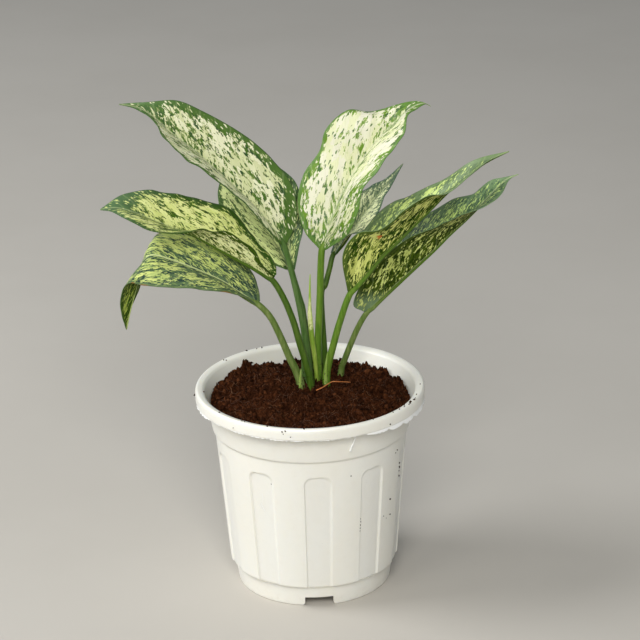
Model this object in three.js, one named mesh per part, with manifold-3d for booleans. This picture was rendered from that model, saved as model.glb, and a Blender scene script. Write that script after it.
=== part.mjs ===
// Potted chinese evergreen: a plastic nursery pot, its soil, nine leaves on their stalks and one
// rolled new leaf. Millimetres, +Z up. Everything is measured from the pot axis; the finished model is
// then moved so that the middle of its bounding box is over the origin and the pot stands on z = 0.
import * as THREE from 'three';
import { mergeVertices } from 'three/addons/utils/BufferGeometryUtils.js';
import Module from 'manifold-3d';

const wasm = await Module();
wasm.setup();

const CLEARANCE = 0.35;

// Pot
const POT_SEGMENTS = 48;
const FLOOR_UNDER = 7;
const FLOOR_TOP = 9;
const FLUTE_COUNT = 10;
const FLUTE_FIRST = 3.2;
const FLUTE_WIDTH = 16;
const FLUTE_BOTTOM = 15;
const FLUTE_SHOULDER = 92;
const FLUTE_TOP = 97.6;
const FLUTE_CORNER = 5;
const FLUTE_DEPTH = 1;
const BODY_FOOT = { r: 56.4, z: 16.2 };
const BODY_HEAD = { r: 63.7, z: 108.4 };
const NOTCH_COUNT = 3;
const NOTCH_FIRST = 3;
const NOTCH_WIDTH = 18.8;
const NOTCH_HEIGHT = 6.6;
const NOTCH_CORNER = 0.6;
const NOTCH_FLARE = { width: 3, height: 3.4 };
const DRAIN_COUNT = 6;
const DRAIN_RADIUS = 4;
const DRAIN_CIRCLE = 30;

// Outside of the pot: foot ring, ledge, body, step, flared band, then the hollow under the rolled rim
// and its skirt
const POT_OUTSIDE = [
  [0, FLOOR_UNDER], [47.6, FLOOR_UNDER], [48.1, 0.6], [48.6, 0], [50.7, 0], [51.2, 0.6],
  [53.3, 15.2], [55.8, 15.4], [BODY_FOOT.r, BODY_FOOT.z], [BODY_HEAD.r, BODY_HEAD.z], [64.3, 109.3],
  [65.4, 110.2], [66.3, 116], [67.3, 122], [68.7, 129], [70.8, 133.4], [71.9, 134.9], [73.3, 135.4],
  [74.2, 134.8], [74.9, 130.4], [75.4, 130], [76, 130.4], [76, 135.6], [75.7, 136.8], [75.2, 137.5],
  [74.5, 137.9], [73.2, 137.7],
];
// Inside of the pot, from the rim down to the middle of the floor
const POT_INSIDE = [
  [71.2, 137.1], [69.8, 135.8], [66.8, 128], [65.5, 121], [63.6, 110.6], [61.9, 107.6], [54.7, 17.6], [53.7, 16.7],
  [51.5, 16], [50.5, 9.8], [49.8, FLOOR_TOP], [0, FLOOR_TOP],
];

// Soil
const SOIL_RINGS = [6, 14, 26, 38, 49, 58, 65.9];
const SOIL_EDGE = 127.5;
const SOIL_RISE = 6;
const SOIL_BUMP = 0.9;

// Leaves
const BLADE_THICKNESS = 0.8;
const BLADE_ROWS = 13;
const BLADE_HALF_COLUMNS = 3;
const BLADE_END = 0.985;
const BLADE_CAMBER = 0.06;
const BLADE_WAVE = 0.8;
const STALK_SIDES = 7;
const STALK_ROWS = 6;
const RIB_ROWS = 5;
const RIB_END = 0.8;
const RIB_TIP_RADIUS = 0.55;
const SHEATH_SIDES = 6;

// Each leaf: radius of its stalk at the soil and at the blade, the points of the stalk, then the points
// of the midrib and of the two edges of the blade, from the stalk to the tip. Right is seen from the stalk.
const LEAVES = [
  {
    name: 'leaf_upper_left',
    radii: [2.5, 1.9],
    stalk: [[0, 12, 108], [0, 12, 134], [-2, 12, 163], [-7, 14, 196]],
    midrib: [[-15, 18, 230], [-23, 17, 243], [-34, 15, 258], [-46, 13, 272], [-58, 11, 285], [-70, 8, 298],
      [-83, 5, 310], [-95, 2, 323], [-105, 1, 330], [-117, 0, 333]],
    right: [[-13, 19, 229], [-6, 27, 243], [-8, 27, 266], [-20, 26, 285], [-34, 23, 300], [-49, 19, 312],
      [-64, 13, 323], [-80, 8, 332], [-98, 3, 333], [-117, 0, 333]],
    left: [[-17, 16, 230], [-28, -3, 252], [-39, -12, 270], [-50, -15, 279], [-64, -18, 295], [-78, -18, 305],
      [-89, -15, 315], [-95, -6, 324], [-105, -2, 330], [-117, 0, 333]],
    waves: [3.1, 0.2],
    rows: BLADE_ROWS,
    sheath: [],
  },
  {
    name: 'leaf_middle_left',
    radii: [2.7, 2],
    stalk: [[1, 3, 108], [1, 3, 134], [-2, 3, 151], [-6, 3, 166], [-10, 3, 182], [-16, 4, 198]],
    midrib: [[-23, 5, 210], [-33, 3, 219], [-45, 1, 227], [-58, -2, 236], [-71, -5, 245], [-83, -8, 251],
      [-96, -11, 258], [-109, -14, 265], [-120, -16, 269], [-131, -18, 269]],
    right: [[-20, 8, 213], [-21, 15, 217], [-31, 21, 230], [-40, 23, 241], [-53, 22, 255], [-68, 18, 263],
      [-82, 13, 267], [-99, 7, 273], [-116, -4, 274], [-131, -18, 269]],
    left: [[-21, 3, 213], [-28, -3, 223], [-34, -7, 235], [-46, -11, 247], [-63, -18, 253], [-79, -26, 254],
      [-94, -32, 257], [-109, -30, 264], [-121, -24, 269], [-131, -18, 269]],
    waves: [3.6, 0.5],
    rows: BLADE_ROWS,
    sheath: [],
  },
  {
    name: 'leaf_lower_left',
    radii: [2.7, 2],
    stalk: [[-6, 3, 108], [-6, 3, 134], [-9, 3, 146], [-13, 2, 156], [-19, 0, 173], [-25, -2, 187]],
    midrib: [[-33, -4, 197], [-44, -6, 206], [-55, -8, 215], [-69, -10, 223], [-85, -12, 231], [-100, -14, 236],
      [-107, -15, 228], [-110, -16, 215], [-114, -17, 202], [-118, -18, 186]],
    right: [[-31, -2, 198], [-32, 8, 204], [-37, 15, 213], [-51, 18, 227], [-72, 16, 239], [-95, 8, 243],
      [-103, 0, 230], [-107, -8, 216], [-114, -13, 202], [-118, -18, 186]],
    left: [[-34, -6, 197], [-42, -14, 206], [-53, -23, 213], [-69, -30, 218], [-86, -34, 220], [-103, -36, 224],
      [-114, -35, 225], [-119, -29, 213], [-120, -23, 199], [-118, -18, 186]],
    waves: [2.6, 0.1],
    rows: 20,
    sheath: [[-6.5, 1.6, 131], [-6.2, 0.4, 141], [-5.6, -0.6, 149]],
  },
  {
    name: 'leaf_behind_left',
    radii: [2.4, 1.8],
    stalk: [[1, 27, 108], [1, 27, 134], [-3, 30, 173], [-7, 32, 189]],
    midrib: [[-11, 34, 206], [-16, 40, 214], [-23, 48, 224], [-31, 57, 233], [-37, 67, 242], [-42, 78, 251],
      [-46, 88, 259], [-49, 98, 269]],
    right: [[-10, 36, 205], [-9, 56, 220], [-12, 66, 237], [-17, 76, 249], [-23, 86, 258], [-31, 94, 262],
      [-39, 98, 266], [-49, 98, 269]],
    left: [[-14, 32, 207], [-27, 32, 213], [-42, 38, 221], [-54, 48, 232], [-58, 60, 244], [-58, 72, 252],
      [-54, 84, 260], [-49, 98, 269]],
    waves: [2.8, 0.7],
    rows: BLADE_ROWS,
    sheath: [],
  },
  {
    name: 'leaf_behind_middle',
    radii: [2.4, 1.8],
    stalk: [[-3, 19, 108], [-3, 19, 134], [-3, 22, 176], [-6, 24, 192]],
    midrib: [[-10, 27, 208], [-11, 31, 221], [-12, 36, 234], [-13, 42, 247], [-16, 48, 258], [-20, 55, 267],
      [-23, 61, 273]],
    right: [[-8, 26, 209], [-5, 28, 223], [-2, 35, 233], [-2, 42, 246], [-5, 48, 260], [-12, 55, 267],
      [-23, 61, 273]],
    left: [[-12, 28, 209], [-19, 36, 226], [-25, 44, 242], [-29, 52, 255], [-29, 59, 265], [-25, 61, 272],
      [-23, 61, 273]],
    waves: [2.4, 0.3],
    rows: BLADE_ROWS,
    sheath: [],
  },
  {
    name: 'leaf_centre',
    radii: [2.8, 2.2],
    stalk: [[6, 19, 108], [6, 19, 134], [6, 20, 154], [8, 20, 189]],
    midrib: [[10, 20, 224], [14, 23, 235], [19, 28, 248], [26, 33, 262], [35, 38, 275], [45, 42, 288],
      [55, 45, 298], [64, 47, 306], [72, 48, 312], [79, 49, 314], [84, 49, 312]],
    right: [[13, 18, 225], [27, 10, 238], [33, 9, 252], [37, 12, 268], [48, 16, 280], [56, 21, 291],
      [65, 27, 301], [68, 36, 310], [74, 43, 312], [80, 48, 314], [84, 49, 312]],
    left: [[8, 21, 225], [-1, 27, 235], [-5, 34, 252], [-1, 39, 270], [10, 43, 285], [15, 47, 299],
      [29, 51, 310], [44, 54, 308], [61, 53, 312], [75, 51, 315], [84, 49, 312]],
    waves: [3.2, 0.6],
    rows: BLADE_ROWS,
    sheath: [],
  },
  {
    name: 'leaf_behind_right',
    radii: [2.2, 1.7],
    stalk: [[11, 26, 108], [11, 26, 134], [9, 28, 187], [12, 31, 196], [15, 34, 206]],
    midrib: [[18, 38, 215], [25, 45, 221], [33, 54, 229], [41, 63, 237], [50, 71, 246], [58, 79, 253],
      [67, 88, 261]],
    right: [[19, 36, 216], [27, 36, 227], [39, 40, 231], [48, 50, 238], [53, 62, 246], [60, 74, 253],
      [67, 88, 261]],
    left: [[16, 40, 215], [21, 52, 225], [26, 64, 237], [34, 72, 244], [44, 78, 248], [54, 83, 252],
      [67, 88, 261]],
    waves: [2.7, 0.4],
    rows: BLADE_ROWS,
    sheath: [],
  },
  {
    name: 'leaf_right_upper',
    radii: [2.8, 2.2],
    stalk: [[11, 10, 108], [11, 10, 134], [12, 10, 145], [16, 9, 161], [21, 8, 179]],
    midrib: [[28, 6, 199], [38, 5, 212], [48, 5, 224], [59, 4, 235], [70, 4, 246], [81, 3, 257],
      [92, 3, 268], [104, 2, 278], [116, 2, 287], [132, 2, 295]],
    right: [[26, 4, 201], [23, -5, 229], [32, -7, 244], [48, -10, 249], [62, -13, 261], [76, -15, 271],
      [90, -14, 273], [104, -10, 282], [116, -5, 290], [132, 2, 295]],
    left: [[26, 9, 200], [27, 20, 220], [36, 26, 233], [46, 27, 245], [57, 25, 255], [70, 21, 261],
      [84, 16, 269], [98, 11, 280], [112, 6, 289], [132, 2, 295]],
    waves: [3.4, 0.1],
    rows: BLADE_ROWS,
    sheath: [[10.6, 8.4, 131], [11, 6.9, 146], [12.2, 5.6, 158]],
  },
  {
    name: 'leaf_right_lower',
    radii: [2.4, 1.9],
    stalk: [[21, 28, 108], [21, 28, 134], [24, 26, 145], [30, 24, 161], [35, 23, 172]],
    midrib: [[40, 22, 180], [48, 21, 189], [60, 19, 201], [72, 17, 213], [83, 15, 224], [94, 13, 236],
      [104, 11, 246], [114, 9, 257], [123, 8, 267], [130, 7, 274], [138, 6, 278]],
    right: [[37, 20, 180], [30, 15, 188], [39, 13, 209], [53, 11, 224], [68, 5, 237], [84, -1, 247],
      [98, -5, 254], [116, -8, 261], [126, -3, 268], [131, 5, 274], [138, 6, 278]],
    left: [[37, 24, 180], [34, 36, 188], [45, 40, 208], [58, 41, 222], [72, 39, 235], [87, 35, 246],
      [98, 29, 255], [110, 21, 261], [120, 14, 271], [129, 9, 275], [138, 6, 278]],
    waves: [3, 0.8],
    rows: BLADE_ROWS,
    sheath: [],
  },
];

// The new leaf, still rolled: points up its middle and the radius at each
const NEW_LEAF_PATH = [[4.6, 13.6, 110], [4.6, 13.6, 134], [3.6, 14, 150], [2, 15, 165], [1.2, 16, 180],
  [1.4, 16, 189], [1.6, 16, 199], [2, 16, 209]];
const NEW_LEAF_RADII = [1.5, 1.5, 1.6, 1.8, 1.7, 1, 0.65, 0.35];

const GREEN = 0x4f8a3c;
const NEW_GREEN = 0xb9c95a;
const POT_WHITE = 0xece9e0;
const SOIL_BROWN = 0x2f1a12;

function vector(point) {
  return new THREE.Vector3(...point);
}

function curveThrough(points) {
  return new THREE.CatmullRomCurve3(points.map(vector), false, 'catmullrom', 0.5);
}

function mix(a, b, t) {
  return a + (b - a) * t;
}

function toSolid(geometry) {
  const bare = geometry.clone();
  bare.deleteAttribute('normal');
  bare.deleteAttribute('uv');
  const merged = mergeVertices(bare, 1e-4);
  const source = merged.index.array;
  const triangles = [];
  for (let k = 0; k < source.length; k += 3) {
    const [a, b, c] = [source[k], source[k + 1], source[k + 2]];
    if (a !== b && b !== c && c !== a) {
      triangles.push(a, b, c);
    }
  }
  return new wasm.Manifold(new wasm.Mesh({
    numProp: 3,
    vertProperties: new Float32Array(merged.attributes.position.array),
    triVerts: new Uint32Array(triangles),
  }));
}

function toGeometry(solid) {
  const mesh = solid.getMesh();
  const geometry = new THREE.BufferGeometry();
  geometry.setAttribute('position', new THREE.BufferAttribute(new Float32Array(mesh.vertProperties), 3));
  geometry.setIndex(Array.from(mesh.triVerts));
  return geometry;
}

function geometryFrom(position, index) {
  const geometry = new THREE.BufferGeometry();
  geometry.setAttribute('position', new THREE.Float32BufferAttribute(position, 3));
  geometry.setIndex(index);
  return geometry;
}

// Skin over a row of closed rings of points, with a flat fan over each end
function skin(rings) {
  const count = rings[0].length;
  const last = (rings.length - 1) * count;
  const position = rings.flat().flatMap((p) => [p.x, p.y, p.z]);
  const index = [];
  for (let i = 0; i < rings.length - 1; i += 1) {
    for (let j = 0; j < count; j += 1) {
      const a = i * count + j;
      const b = i * count + ((j + 1) % count);
      index.push(a, b, b + count, a, b + count, a + count);
    }
  }
  for (let j = 1; j < count - 1; j += 1) {
    index.push(0, j + 1, j);
    index.push(last, last + j, last + j + 1);
  }
  return geometryFrom(position, index);
}

function ringAround(centre, along, radius, sides) {
  const across = new THREE.Vector3().crossVectors(along, new THREE.Vector3(0, -1, 0)).normalize();
  const other = new THREE.Vector3().crossVectors(along, across);
  const ring = [];
  for (let k = 0; k < sides; k += 1) {
    const angle = (2 * Math.PI * k) / sides;
    const point = centre.clone();
    point.addScaledVector(across, radius * Math.cos(angle));
    point.addScaledVector(other, radius * Math.sin(angle));
    ring.push(point);
  }
  return ring;
}

function spin(profile, segments) {
  const lathe = new THREE.LatheGeometry(profile.map(([r, z]) => new THREE.Vector2(r, z)), segments);
  return lathe.rotateX(Math.PI / 2);
}

function bodyRadius(z) {
  return mix(BODY_FOOT.r, BODY_HEAD.r, (z - BODY_FOOT.z) / (BODY_HEAD.z - BODY_FOOT.z));
}

// The bite that one flute takes out of the body: straight sides, rounded upper corners, the same depth
// all over
function fluteCutter(middle) {
  const rows = [FLUTE_BOTTOM - 0.2, FLUTE_SHOULDER, 93.8, 95.6, 96.9, FLUTE_TOP - 0.1];
  const steps = 2;
  const rings = rows.map((z) => {
    const rise = Math.max(0, (z - FLUTE_SHOULDER) / (FLUTE_TOP - FLUTE_SHOULDER));
    const half = FLUTE_WIDTH / 2 - FLUTE_CORNER * (1 - Math.sqrt(1 - rise * rise));
    const ring = [];
    for (let k = -steps; k <= steps; k += 1) {
      ring.push([bodyRadius(z) + 3, (half * k) / steps]);
    }
    for (let k = steps; k >= -steps; k -= 1) {
      ring.push([bodyRadius(z) - FLUTE_DEPTH, (half * k) / steps]);
    }
    return ring.map(([r, degrees]) => {
      const angle = THREE.MathUtils.degToRad(middle + degrees);
      return new THREE.Vector3(r * Math.sin(angle), -r * Math.cos(angle), z);
    });
  });
  return toSolid(skin(rings));
}

// A slot through the foot ring with small upper corners, flared where it meets the ground
function notchCutter(middle) {
  const half = NOTCH_WIDTH / 2;
  const shape = new THREE.Shape();
  shape.moveTo(-half - NOTCH_FLARE.width, -2);
  shape.lineTo(half + NOTCH_FLARE.width, -2);
  shape.lineTo(half + NOTCH_FLARE.width, 0);
  shape.quadraticCurveTo(half, 0, half, NOTCH_FLARE.height);
  shape.lineTo(half, NOTCH_HEIGHT - NOTCH_CORNER);
  shape.quadraticCurveTo(half, NOTCH_HEIGHT, half - NOTCH_CORNER, NOTCH_HEIGHT);
  shape.lineTo(-half + NOTCH_CORNER, NOTCH_HEIGHT);
  shape.quadraticCurveTo(-half, NOTCH_HEIGHT, -half, NOTCH_HEIGHT - NOTCH_CORNER);
  shape.lineTo(-half, NOTCH_FLARE.height);
  shape.quadraticCurveTo(-half, 0, -half - NOTCH_FLARE.width, 0);
  shape.closePath();
  const slot = new THREE.ExtrudeGeometry(shape, { depth: 14, bevelEnabled: false, curveSegments: 4 });
  slot.rotateX(Math.PI / 2);
  slot.translate(0, -44, 0);
  slot.rotateZ(THREE.MathUtils.degToRad(middle));
  return toSolid(slot);
}

function drainCutter(middle) {
  const hole = new THREE.CylinderGeometry(DRAIN_RADIUS, DRAIN_RADIUS, 6, 20);
  hole.rotateX(Math.PI / 2);
  hole.translate(0, -DRAIN_CIRCLE, (FLOOR_UNDER + FLOOR_TOP) / 2);
  hole.rotateZ(THREE.MathUtils.degToRad(middle));
  return toSolid(hole);
}

function makePot() {
  let pot = toSolid(spin([...POT_OUTSIDE, ...POT_INSIDE], POT_SEGMENTS));
  for (let k = 0; k < FLUTE_COUNT; k += 1) {
    pot = pot.subtract(fluteCutter(FLUTE_FIRST + (360 / FLUTE_COUNT) * k));
  }
  for (let k = 0; k < NOTCH_COUNT; k += 1) {
    pot = pot.subtract(notchCutter(NOTCH_FIRST + (360 / NOTCH_COUNT) * k));
  }
  for (let k = 0; k < DRAIN_COUNT; k += 1) {
    pot = pot.subtract(drainCutter(30 + (360 / DRAIN_COUNT) * k));
  }
  return pot;
}

// Points and tangents of a leaf along its stalk and midrib
function leafLine(leaf) {
  const points = [...leaf.stalk, ...leaf.midrib];
  const curve = curveThrough(points);
  const collar = leaf.stalk.length / (points.length - 1);
  return { curve, collar };
}

function stalkRings(leaf, extra) {
  const { curve, collar } = leafLine(leaf);
  const rings = [];
  for (let k = 0; k <= STALK_ROWS; k += 1) {
    const t = (collar * k) / STALK_ROWS;
    const radius = mix(leaf.radii[0], leaf.radii[1], k / STALK_ROWS) + extra;
    rings.push(ringAround(curve.getPoint(t), curve.getTangent(t), radius, STALK_SIDES));
  }
  return rings;
}

// The upper face of a blade: rows from the stalk to the tip, columns from the left edge to the right
function bladeRows(leaf) {
  const { curve, collar } = leafLine(leaf);
  const edges = [curveThrough(leaf.left), curveThrough(leaf.right)];
  const rows = [];
  for (let i = 0; i <= leaf.rows; i += 1) {
    const s = (BLADE_END * i) / leaf.rows;
    const t = mix(collar, 1, s);
    const middle = curve.getPoint(t);
    const along = curve.getTangent(t);
    const row = [];
    for (let j = -BLADE_HALF_COLUMNS; j <= BLADE_HALF_COLUMNS; j += 1) {
      const side = j < 0 ? 0 : 1;
      const f = Math.abs(j) / BLADE_HALF_COLUMNS;
      const reach = edges[side].getPoint(s).sub(middle);
      const up = new THREE.Vector3().crossVectors(reach, along).multiplyScalar(side === 0 ? -1 : 1).normalize();
      const turn = 2 * Math.PI * (leaf.waves[0] * s + leaf.waves[1] + 0.37 * side);
      const wave = BLADE_WAVE * f * f * Math.sin(turn) * Math.sin(Math.PI * s);
      const lift = BLADE_CAMBER * reach.length() * Math.sin(Math.PI * f) + wave;
      row.push(middle.clone().addScaledVector(reach, f).addScaledVector(up, lift));
    }
    rows.push(row);
  }
  return rows;
}

function rowNormals(rows) {
  return rows.map((row, i) => row.map((point, j) => {
    const ahead = rows[Math.min(i + 1, rows.length - 1)][j];
    const behind = rows[Math.max(i - 1, 0)][j];
    const right = row[Math.min(j + 1, row.length - 1)];
    const left = row[Math.max(j - 1, 0)];
    const across = new THREE.Vector3().subVectors(right, left);
    const along = new THREE.Vector3().subVectors(ahead, behind);
    return across.cross(along).normalize();
  }));
}

// A blade of even thickness under the rows of its upper face; both faces are split along the same diagonals
function bladeGeometry(rows) {
  const normals = rowNormals(rows);
  const columns = rows[0].length;
  const count = rows.length * columns;
  const last = rows.length - 1;
  const end = columns - 1;
  const position = [];
  rows.forEach((row) => row.forEach((p) => position.push(p.x, p.y, p.z)));
  rows.forEach((row, i) => row.forEach((p, j) => {
    const under = p.clone().addScaledVector(normals[i][j], -BLADE_THICKNESS);
    position.push(under.x, under.y, under.z);
  }));
  const upper = (i, j) => i * columns + j;
  const lower = (i, j) => count + i * columns + j;
  const index = [];
  for (let i = 0; i < last; i += 1) {
    for (let j = 0; j < end; j += 1) {
      index.push(upper(i, j), upper(i, j + 1), upper(i + 1, j + 1));
      index.push(upper(i, j), upper(i + 1, j + 1), upper(i + 1, j));
      index.push(lower(i, j), lower(i + 1, j + 1), lower(i, j + 1));
      index.push(lower(i, j), lower(i + 1, j), lower(i + 1, j + 1));
    }
    index.push(upper(i, 0), upper(i + 1, 0), lower(i + 1, 0));
    index.push(upper(i, 0), lower(i + 1, 0), lower(i, 0));
    index.push(upper(i, end), lower(i + 1, end), upper(i + 1, end));
    index.push(upper(i, end), lower(i, end), lower(i + 1, end));
  }
  for (let j = 0; j < end; j += 1) {
    index.push(upper(0, j), lower(0, j), lower(0, j + 1));
    index.push(upper(0, j), lower(0, j + 1), upper(0, j + 1));
    index.push(upper(last, j), lower(last, j + 1), lower(last, j));
    index.push(upper(last, j), upper(last, j + 1), lower(last, j + 1));
  }
  return geometryFrom(position, index);
}

// The stalk goes on under the blade as a rib that gets thinner and sinks into the underside
function ribRings(leaf, rows) {
  const { curve, collar } = leafLine(leaf);
  const normals = rowNormals(rows);
  const rings = [];
  for (let k = 1; k <= RIB_ROWS; k += 1) {
    const s = (RIB_END * k) / RIB_ROWS;
    const t = mix(collar, 1, s);
    const near = Math.min(rows.length - 1, Math.round((s / BLADE_END) * leaf.rows));
    const down = normals[near][BLADE_HALF_COLUMNS];
    const radius = mix(leaf.radii[1], RIB_TIP_RADIUS, Math.sqrt(k / RIB_ROWS));
    const centre = curve.getPoint(t).addScaledVector(down, -0.75 * radius);
    rings.push(ringAround(centre, curve.getTangent(t), radius, STALK_SIDES));
  }
  return rings;
}

function pathRings(path, radii, sides) {
  const curve = curveThrough(path);
  return path.map((point, k) => {
    const t = k / (path.length - 1);
    return ringAround(vector(point), curve.getTangent(t), radii[k], sides);
  });
}

function makeLeaf(leaf) {
  const rows = bladeRows(leaf);
  const blade = toSolid(bladeGeometry(rows));
  const stalk = toSolid(skin([...stalkRings(leaf, 0), ...ribRings(leaf, rows)]));
  let solid = stalk.add(blade);
  if (leaf.sheath.length > 0) {
    solid = solid.add(toSolid(skin(pathRings(leaf.sheath, [1.6, 1.3, 0.4], SHEATH_SIDES))));
  }
  return solid;
}

function soilHeight(x, y) {
  const r = Math.hypot(x, y) / 66;
  const bumps = Math.sin(0.31 * x + 0.9) * Math.sin(0.27 * y - 0.4) + 0.7 * Math.sin(0.16 * x - 0.23 * y + 2.1)
    + 0.5 * Math.sin(0.47 * y + 0.12 * x);
  return SOIL_EDGE + SOIL_RISE * (1 - r * r) + SOIL_BUMP * bumps;
}

function makeSoil() {
  const inner = [...POT_INSIDE].reverse().filter(([r, z]) => r > 0 && z < 128.5);
  const wall = inner.map(([r, z]) => [r - CLEARANCE, z + CLEARANCE]);
  const ringAt = (r, heightAt) => {
    const ring = [];
    for (let k = 0; k < POT_SEGMENTS; k += 1) {
      const angle = (2 * Math.PI * k) / POT_SEGMENTS;
      const [x, y] = [r * Math.cos(angle), r * Math.sin(angle)];
      ring.push(new THREE.Vector3(x, y, heightAt(x, y)));
    }
    return ring;
  };
  const sides = wall.filter(([, z]) => z < SOIL_EDGE - 4).map(([r, z]) => ringAt(r, () => z));
  const rims = [...SOIL_RINGS].reverse().map((r) => ringAt(r, soilHeight));
  const middle = [ringAt(0.5, soilHeight)];
  let soil = toSolid(skin([...sides, ...rims, ...middle]));
  LEAVES.forEach((leaf) => {
    const hole = stalkRings(leaf, CLEARANCE);
    hole[0].forEach((point) => point.setZ(point.z - CLEARANCE));
    soil = soil.subtract(toSolid(skin(hole)));
    if (leaf.sheath.length > 0) {
      const reach = pathRings(leaf.sheath, [1.6, 1.3, 0.4].map((r) => r + CLEARANCE), SHEATH_SIDES);
      reach[0].forEach((point) => point.setZ(point.z - CLEARANCE));
      soil = soil.subtract(toSolid(skin(reach)));
    }
  });
  const newHole = pathRings(NEW_LEAF_PATH, NEW_LEAF_RADII.map((r) => r + CLEARANCE), STALK_SIDES);
  newHole[0].forEach((point) => point.setZ(point.z - CLEARANCE));
  return soil.subtract(toSolid(skin(newHole)));
}

function addMesh(group, name, solid, color, roughness) {
  const material = new THREE.MeshStandardMaterial({ color, roughness, metalness: 0 });
  const mesh = new THREE.Mesh(toGeometry(solid), material);
  mesh.name = name;
  group.add(mesh);
}

const plant = new THREE.Group();
plant.name = 'potted_chinese_evergreen';
addMesh(plant, 'pot', makePot(), POT_WHITE, 0.45);
addMesh(plant, 'soil', makeSoil(), SOIL_BROWN, 1);
LEAVES.forEach((leaf) => addMesh(plant, leaf.name, makeLeaf(leaf), GREEN, 0.4));
const newLeaf = toSolid(skin(pathRings(NEW_LEAF_PATH, NEW_LEAF_RADII, STALK_SIDES)));
addMesh(plant, 'new_leaf', newLeaf, NEW_GREEN, 0.4);

const bounds = new THREE.Box3().setFromObject(plant);
const centre = bounds.getCenter(new THREE.Vector3());
plant.position.set(-centre.x, -centre.y, -bounds.min.z);
plant.updateMatrixWorld(true);

export default plant;
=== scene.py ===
import math
import random

import bmesh
import bpy
import numpy as np
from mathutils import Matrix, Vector, noise


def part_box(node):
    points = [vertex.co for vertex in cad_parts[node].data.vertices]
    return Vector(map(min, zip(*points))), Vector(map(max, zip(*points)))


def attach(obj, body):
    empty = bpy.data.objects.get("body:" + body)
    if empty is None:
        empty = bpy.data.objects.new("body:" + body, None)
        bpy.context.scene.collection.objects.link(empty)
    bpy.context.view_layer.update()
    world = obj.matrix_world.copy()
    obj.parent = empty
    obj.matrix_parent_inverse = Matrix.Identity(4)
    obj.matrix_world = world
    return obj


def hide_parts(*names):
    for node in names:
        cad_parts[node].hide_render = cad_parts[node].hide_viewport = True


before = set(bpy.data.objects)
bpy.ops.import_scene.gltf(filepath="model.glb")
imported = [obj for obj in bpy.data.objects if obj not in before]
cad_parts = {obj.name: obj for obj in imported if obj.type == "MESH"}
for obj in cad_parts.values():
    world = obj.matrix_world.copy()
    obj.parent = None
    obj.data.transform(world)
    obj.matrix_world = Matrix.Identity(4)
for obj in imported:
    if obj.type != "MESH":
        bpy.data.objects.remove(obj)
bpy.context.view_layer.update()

# Sizes are in millimetres from the pot axis, and placed in the frame, in metres, as each piece is made.
MM = 0.001
BODY = "root"
POT_LOW, POT_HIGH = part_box("pot")
POT_AXIS = np.array([(POT_LOW.x + POT_HIGH.x) / 2, (POT_LOW.y + POT_HIGH.y) / 2, 0.0])

# ---------------------------------------------------------------- curves


def curve_at(points, t):
    """Smooth curve through the points, with t from 0 at the first to 1 at the last."""
    points = np.asarray(points, float)
    last = len(points) - 1
    place = np.clip(np.atleast_1d(t), 0, 1) * last
    start = np.minimum(place.astype(int), last - 1)
    part = (place - start)[:, None]
    padded = np.vstack([2 * points[0] - points[1], points, 2 * points[last] - points[last - 1]])
    before, here, there, after = (padded[start + k] for k in range(4))
    lead, trail = (there - before) / 2, (after - here) / 2
    square = -3 * here + 3 * there - 2 * lead - trail
    cube = 2 * here - 2 * there + lead + trail
    return here + lead * part + square * part**2 + cube * part**3


def unit(vectors):
    return vectors / np.maximum(np.linalg.norm(vectors, axis=-1, keepdims=True), 1e-12)


def direction_at(points, t):
    step = 1e-4
    return unit(curve_at(points, np.clip(t + step, 0, 1)) - curve_at(points, np.clip(t - step, 0, 1)))


def soft_step(value, low, high):
    part = np.clip((np.asarray(value, float) - low) / (high - low), 0, 1)
    return part * part * (3 - 2 * part)


def round_axis(azimuth, radius, height):
    """The point at an azimuth, in degrees from the front towards the right."""
    turn = math.radians(azimuth)
    return (radius * math.sin(turn), -radius * math.cos(turn), height)


# ---------------------------------------------------------------- meshes


def join_parts(parts):
    """One list of points and one of faces from several (points, faces) pairs."""
    points, faces, start = [], [], 0
    for part_points, part_faces in parts:
        points.append(np.asarray(part_points, float))
        faces.extend([tuple(int(k) + start for k in face) for face in part_faces])
        start += len(part_points)
    return np.vstack(points), faces


def grid_faces(rows, columns, closed=False, start=0, flip=False):
    """Quads over a grid of points, kept row by row. closed joins the last column to the first."""
    faces = []
    for i in range(rows - 1):
        for j in range(columns if closed else columns - 1):
            a = start + i * columns + j
            b = start + i * columns + (j + 1) % columns
            quad = (a, b, b + columns, a + columns)
            faces.append(quad[::-1] if flip else quad)
    return faces


def make_piece(name, points, faces, materials, nodes, face_materials=None, fields=None, sharp=None):
    """A mesh object in the frame that rides on the plant's body and stands for the named solids."""
    mesh = bpy.data.meshes.new(name)
    mesh.from_pydata((np.asarray(points) * MM + POT_AXIS).tolist(), [], faces)
    for material in materials:
        mesh.materials.append(material)
    if face_materials is not None:
        mesh.polygons.foreach_set("material_index", np.asarray(face_materials, np.int32))
    for label, values in (fields or {}).items():
        field = mesh.attributes.new(label, "FLOAT_VECTOR", "POINT")
        field.data.foreach_set("vector", np.asarray(values, np.float32).ravel())
    mesh.polygons.foreach_set("use_smooth", [True] * len(mesh.polygons))
    if sharp is not None:
        mesh.set_sharp_from_angle(angle=math.radians(sharp))
    mesh.update()
    piece = bpy.data.objects.new(name, mesh)
    bpy.context.scene.collection.objects.link(piece)
    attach(piece, BODY)
    for node in nodes:
        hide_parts(node)
    return piece


# Where a tube's rings start, on paths where that doesn't show: no path runs this way
PLAIN_FACING = (0.31, -0.85, 0.42)


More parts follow.
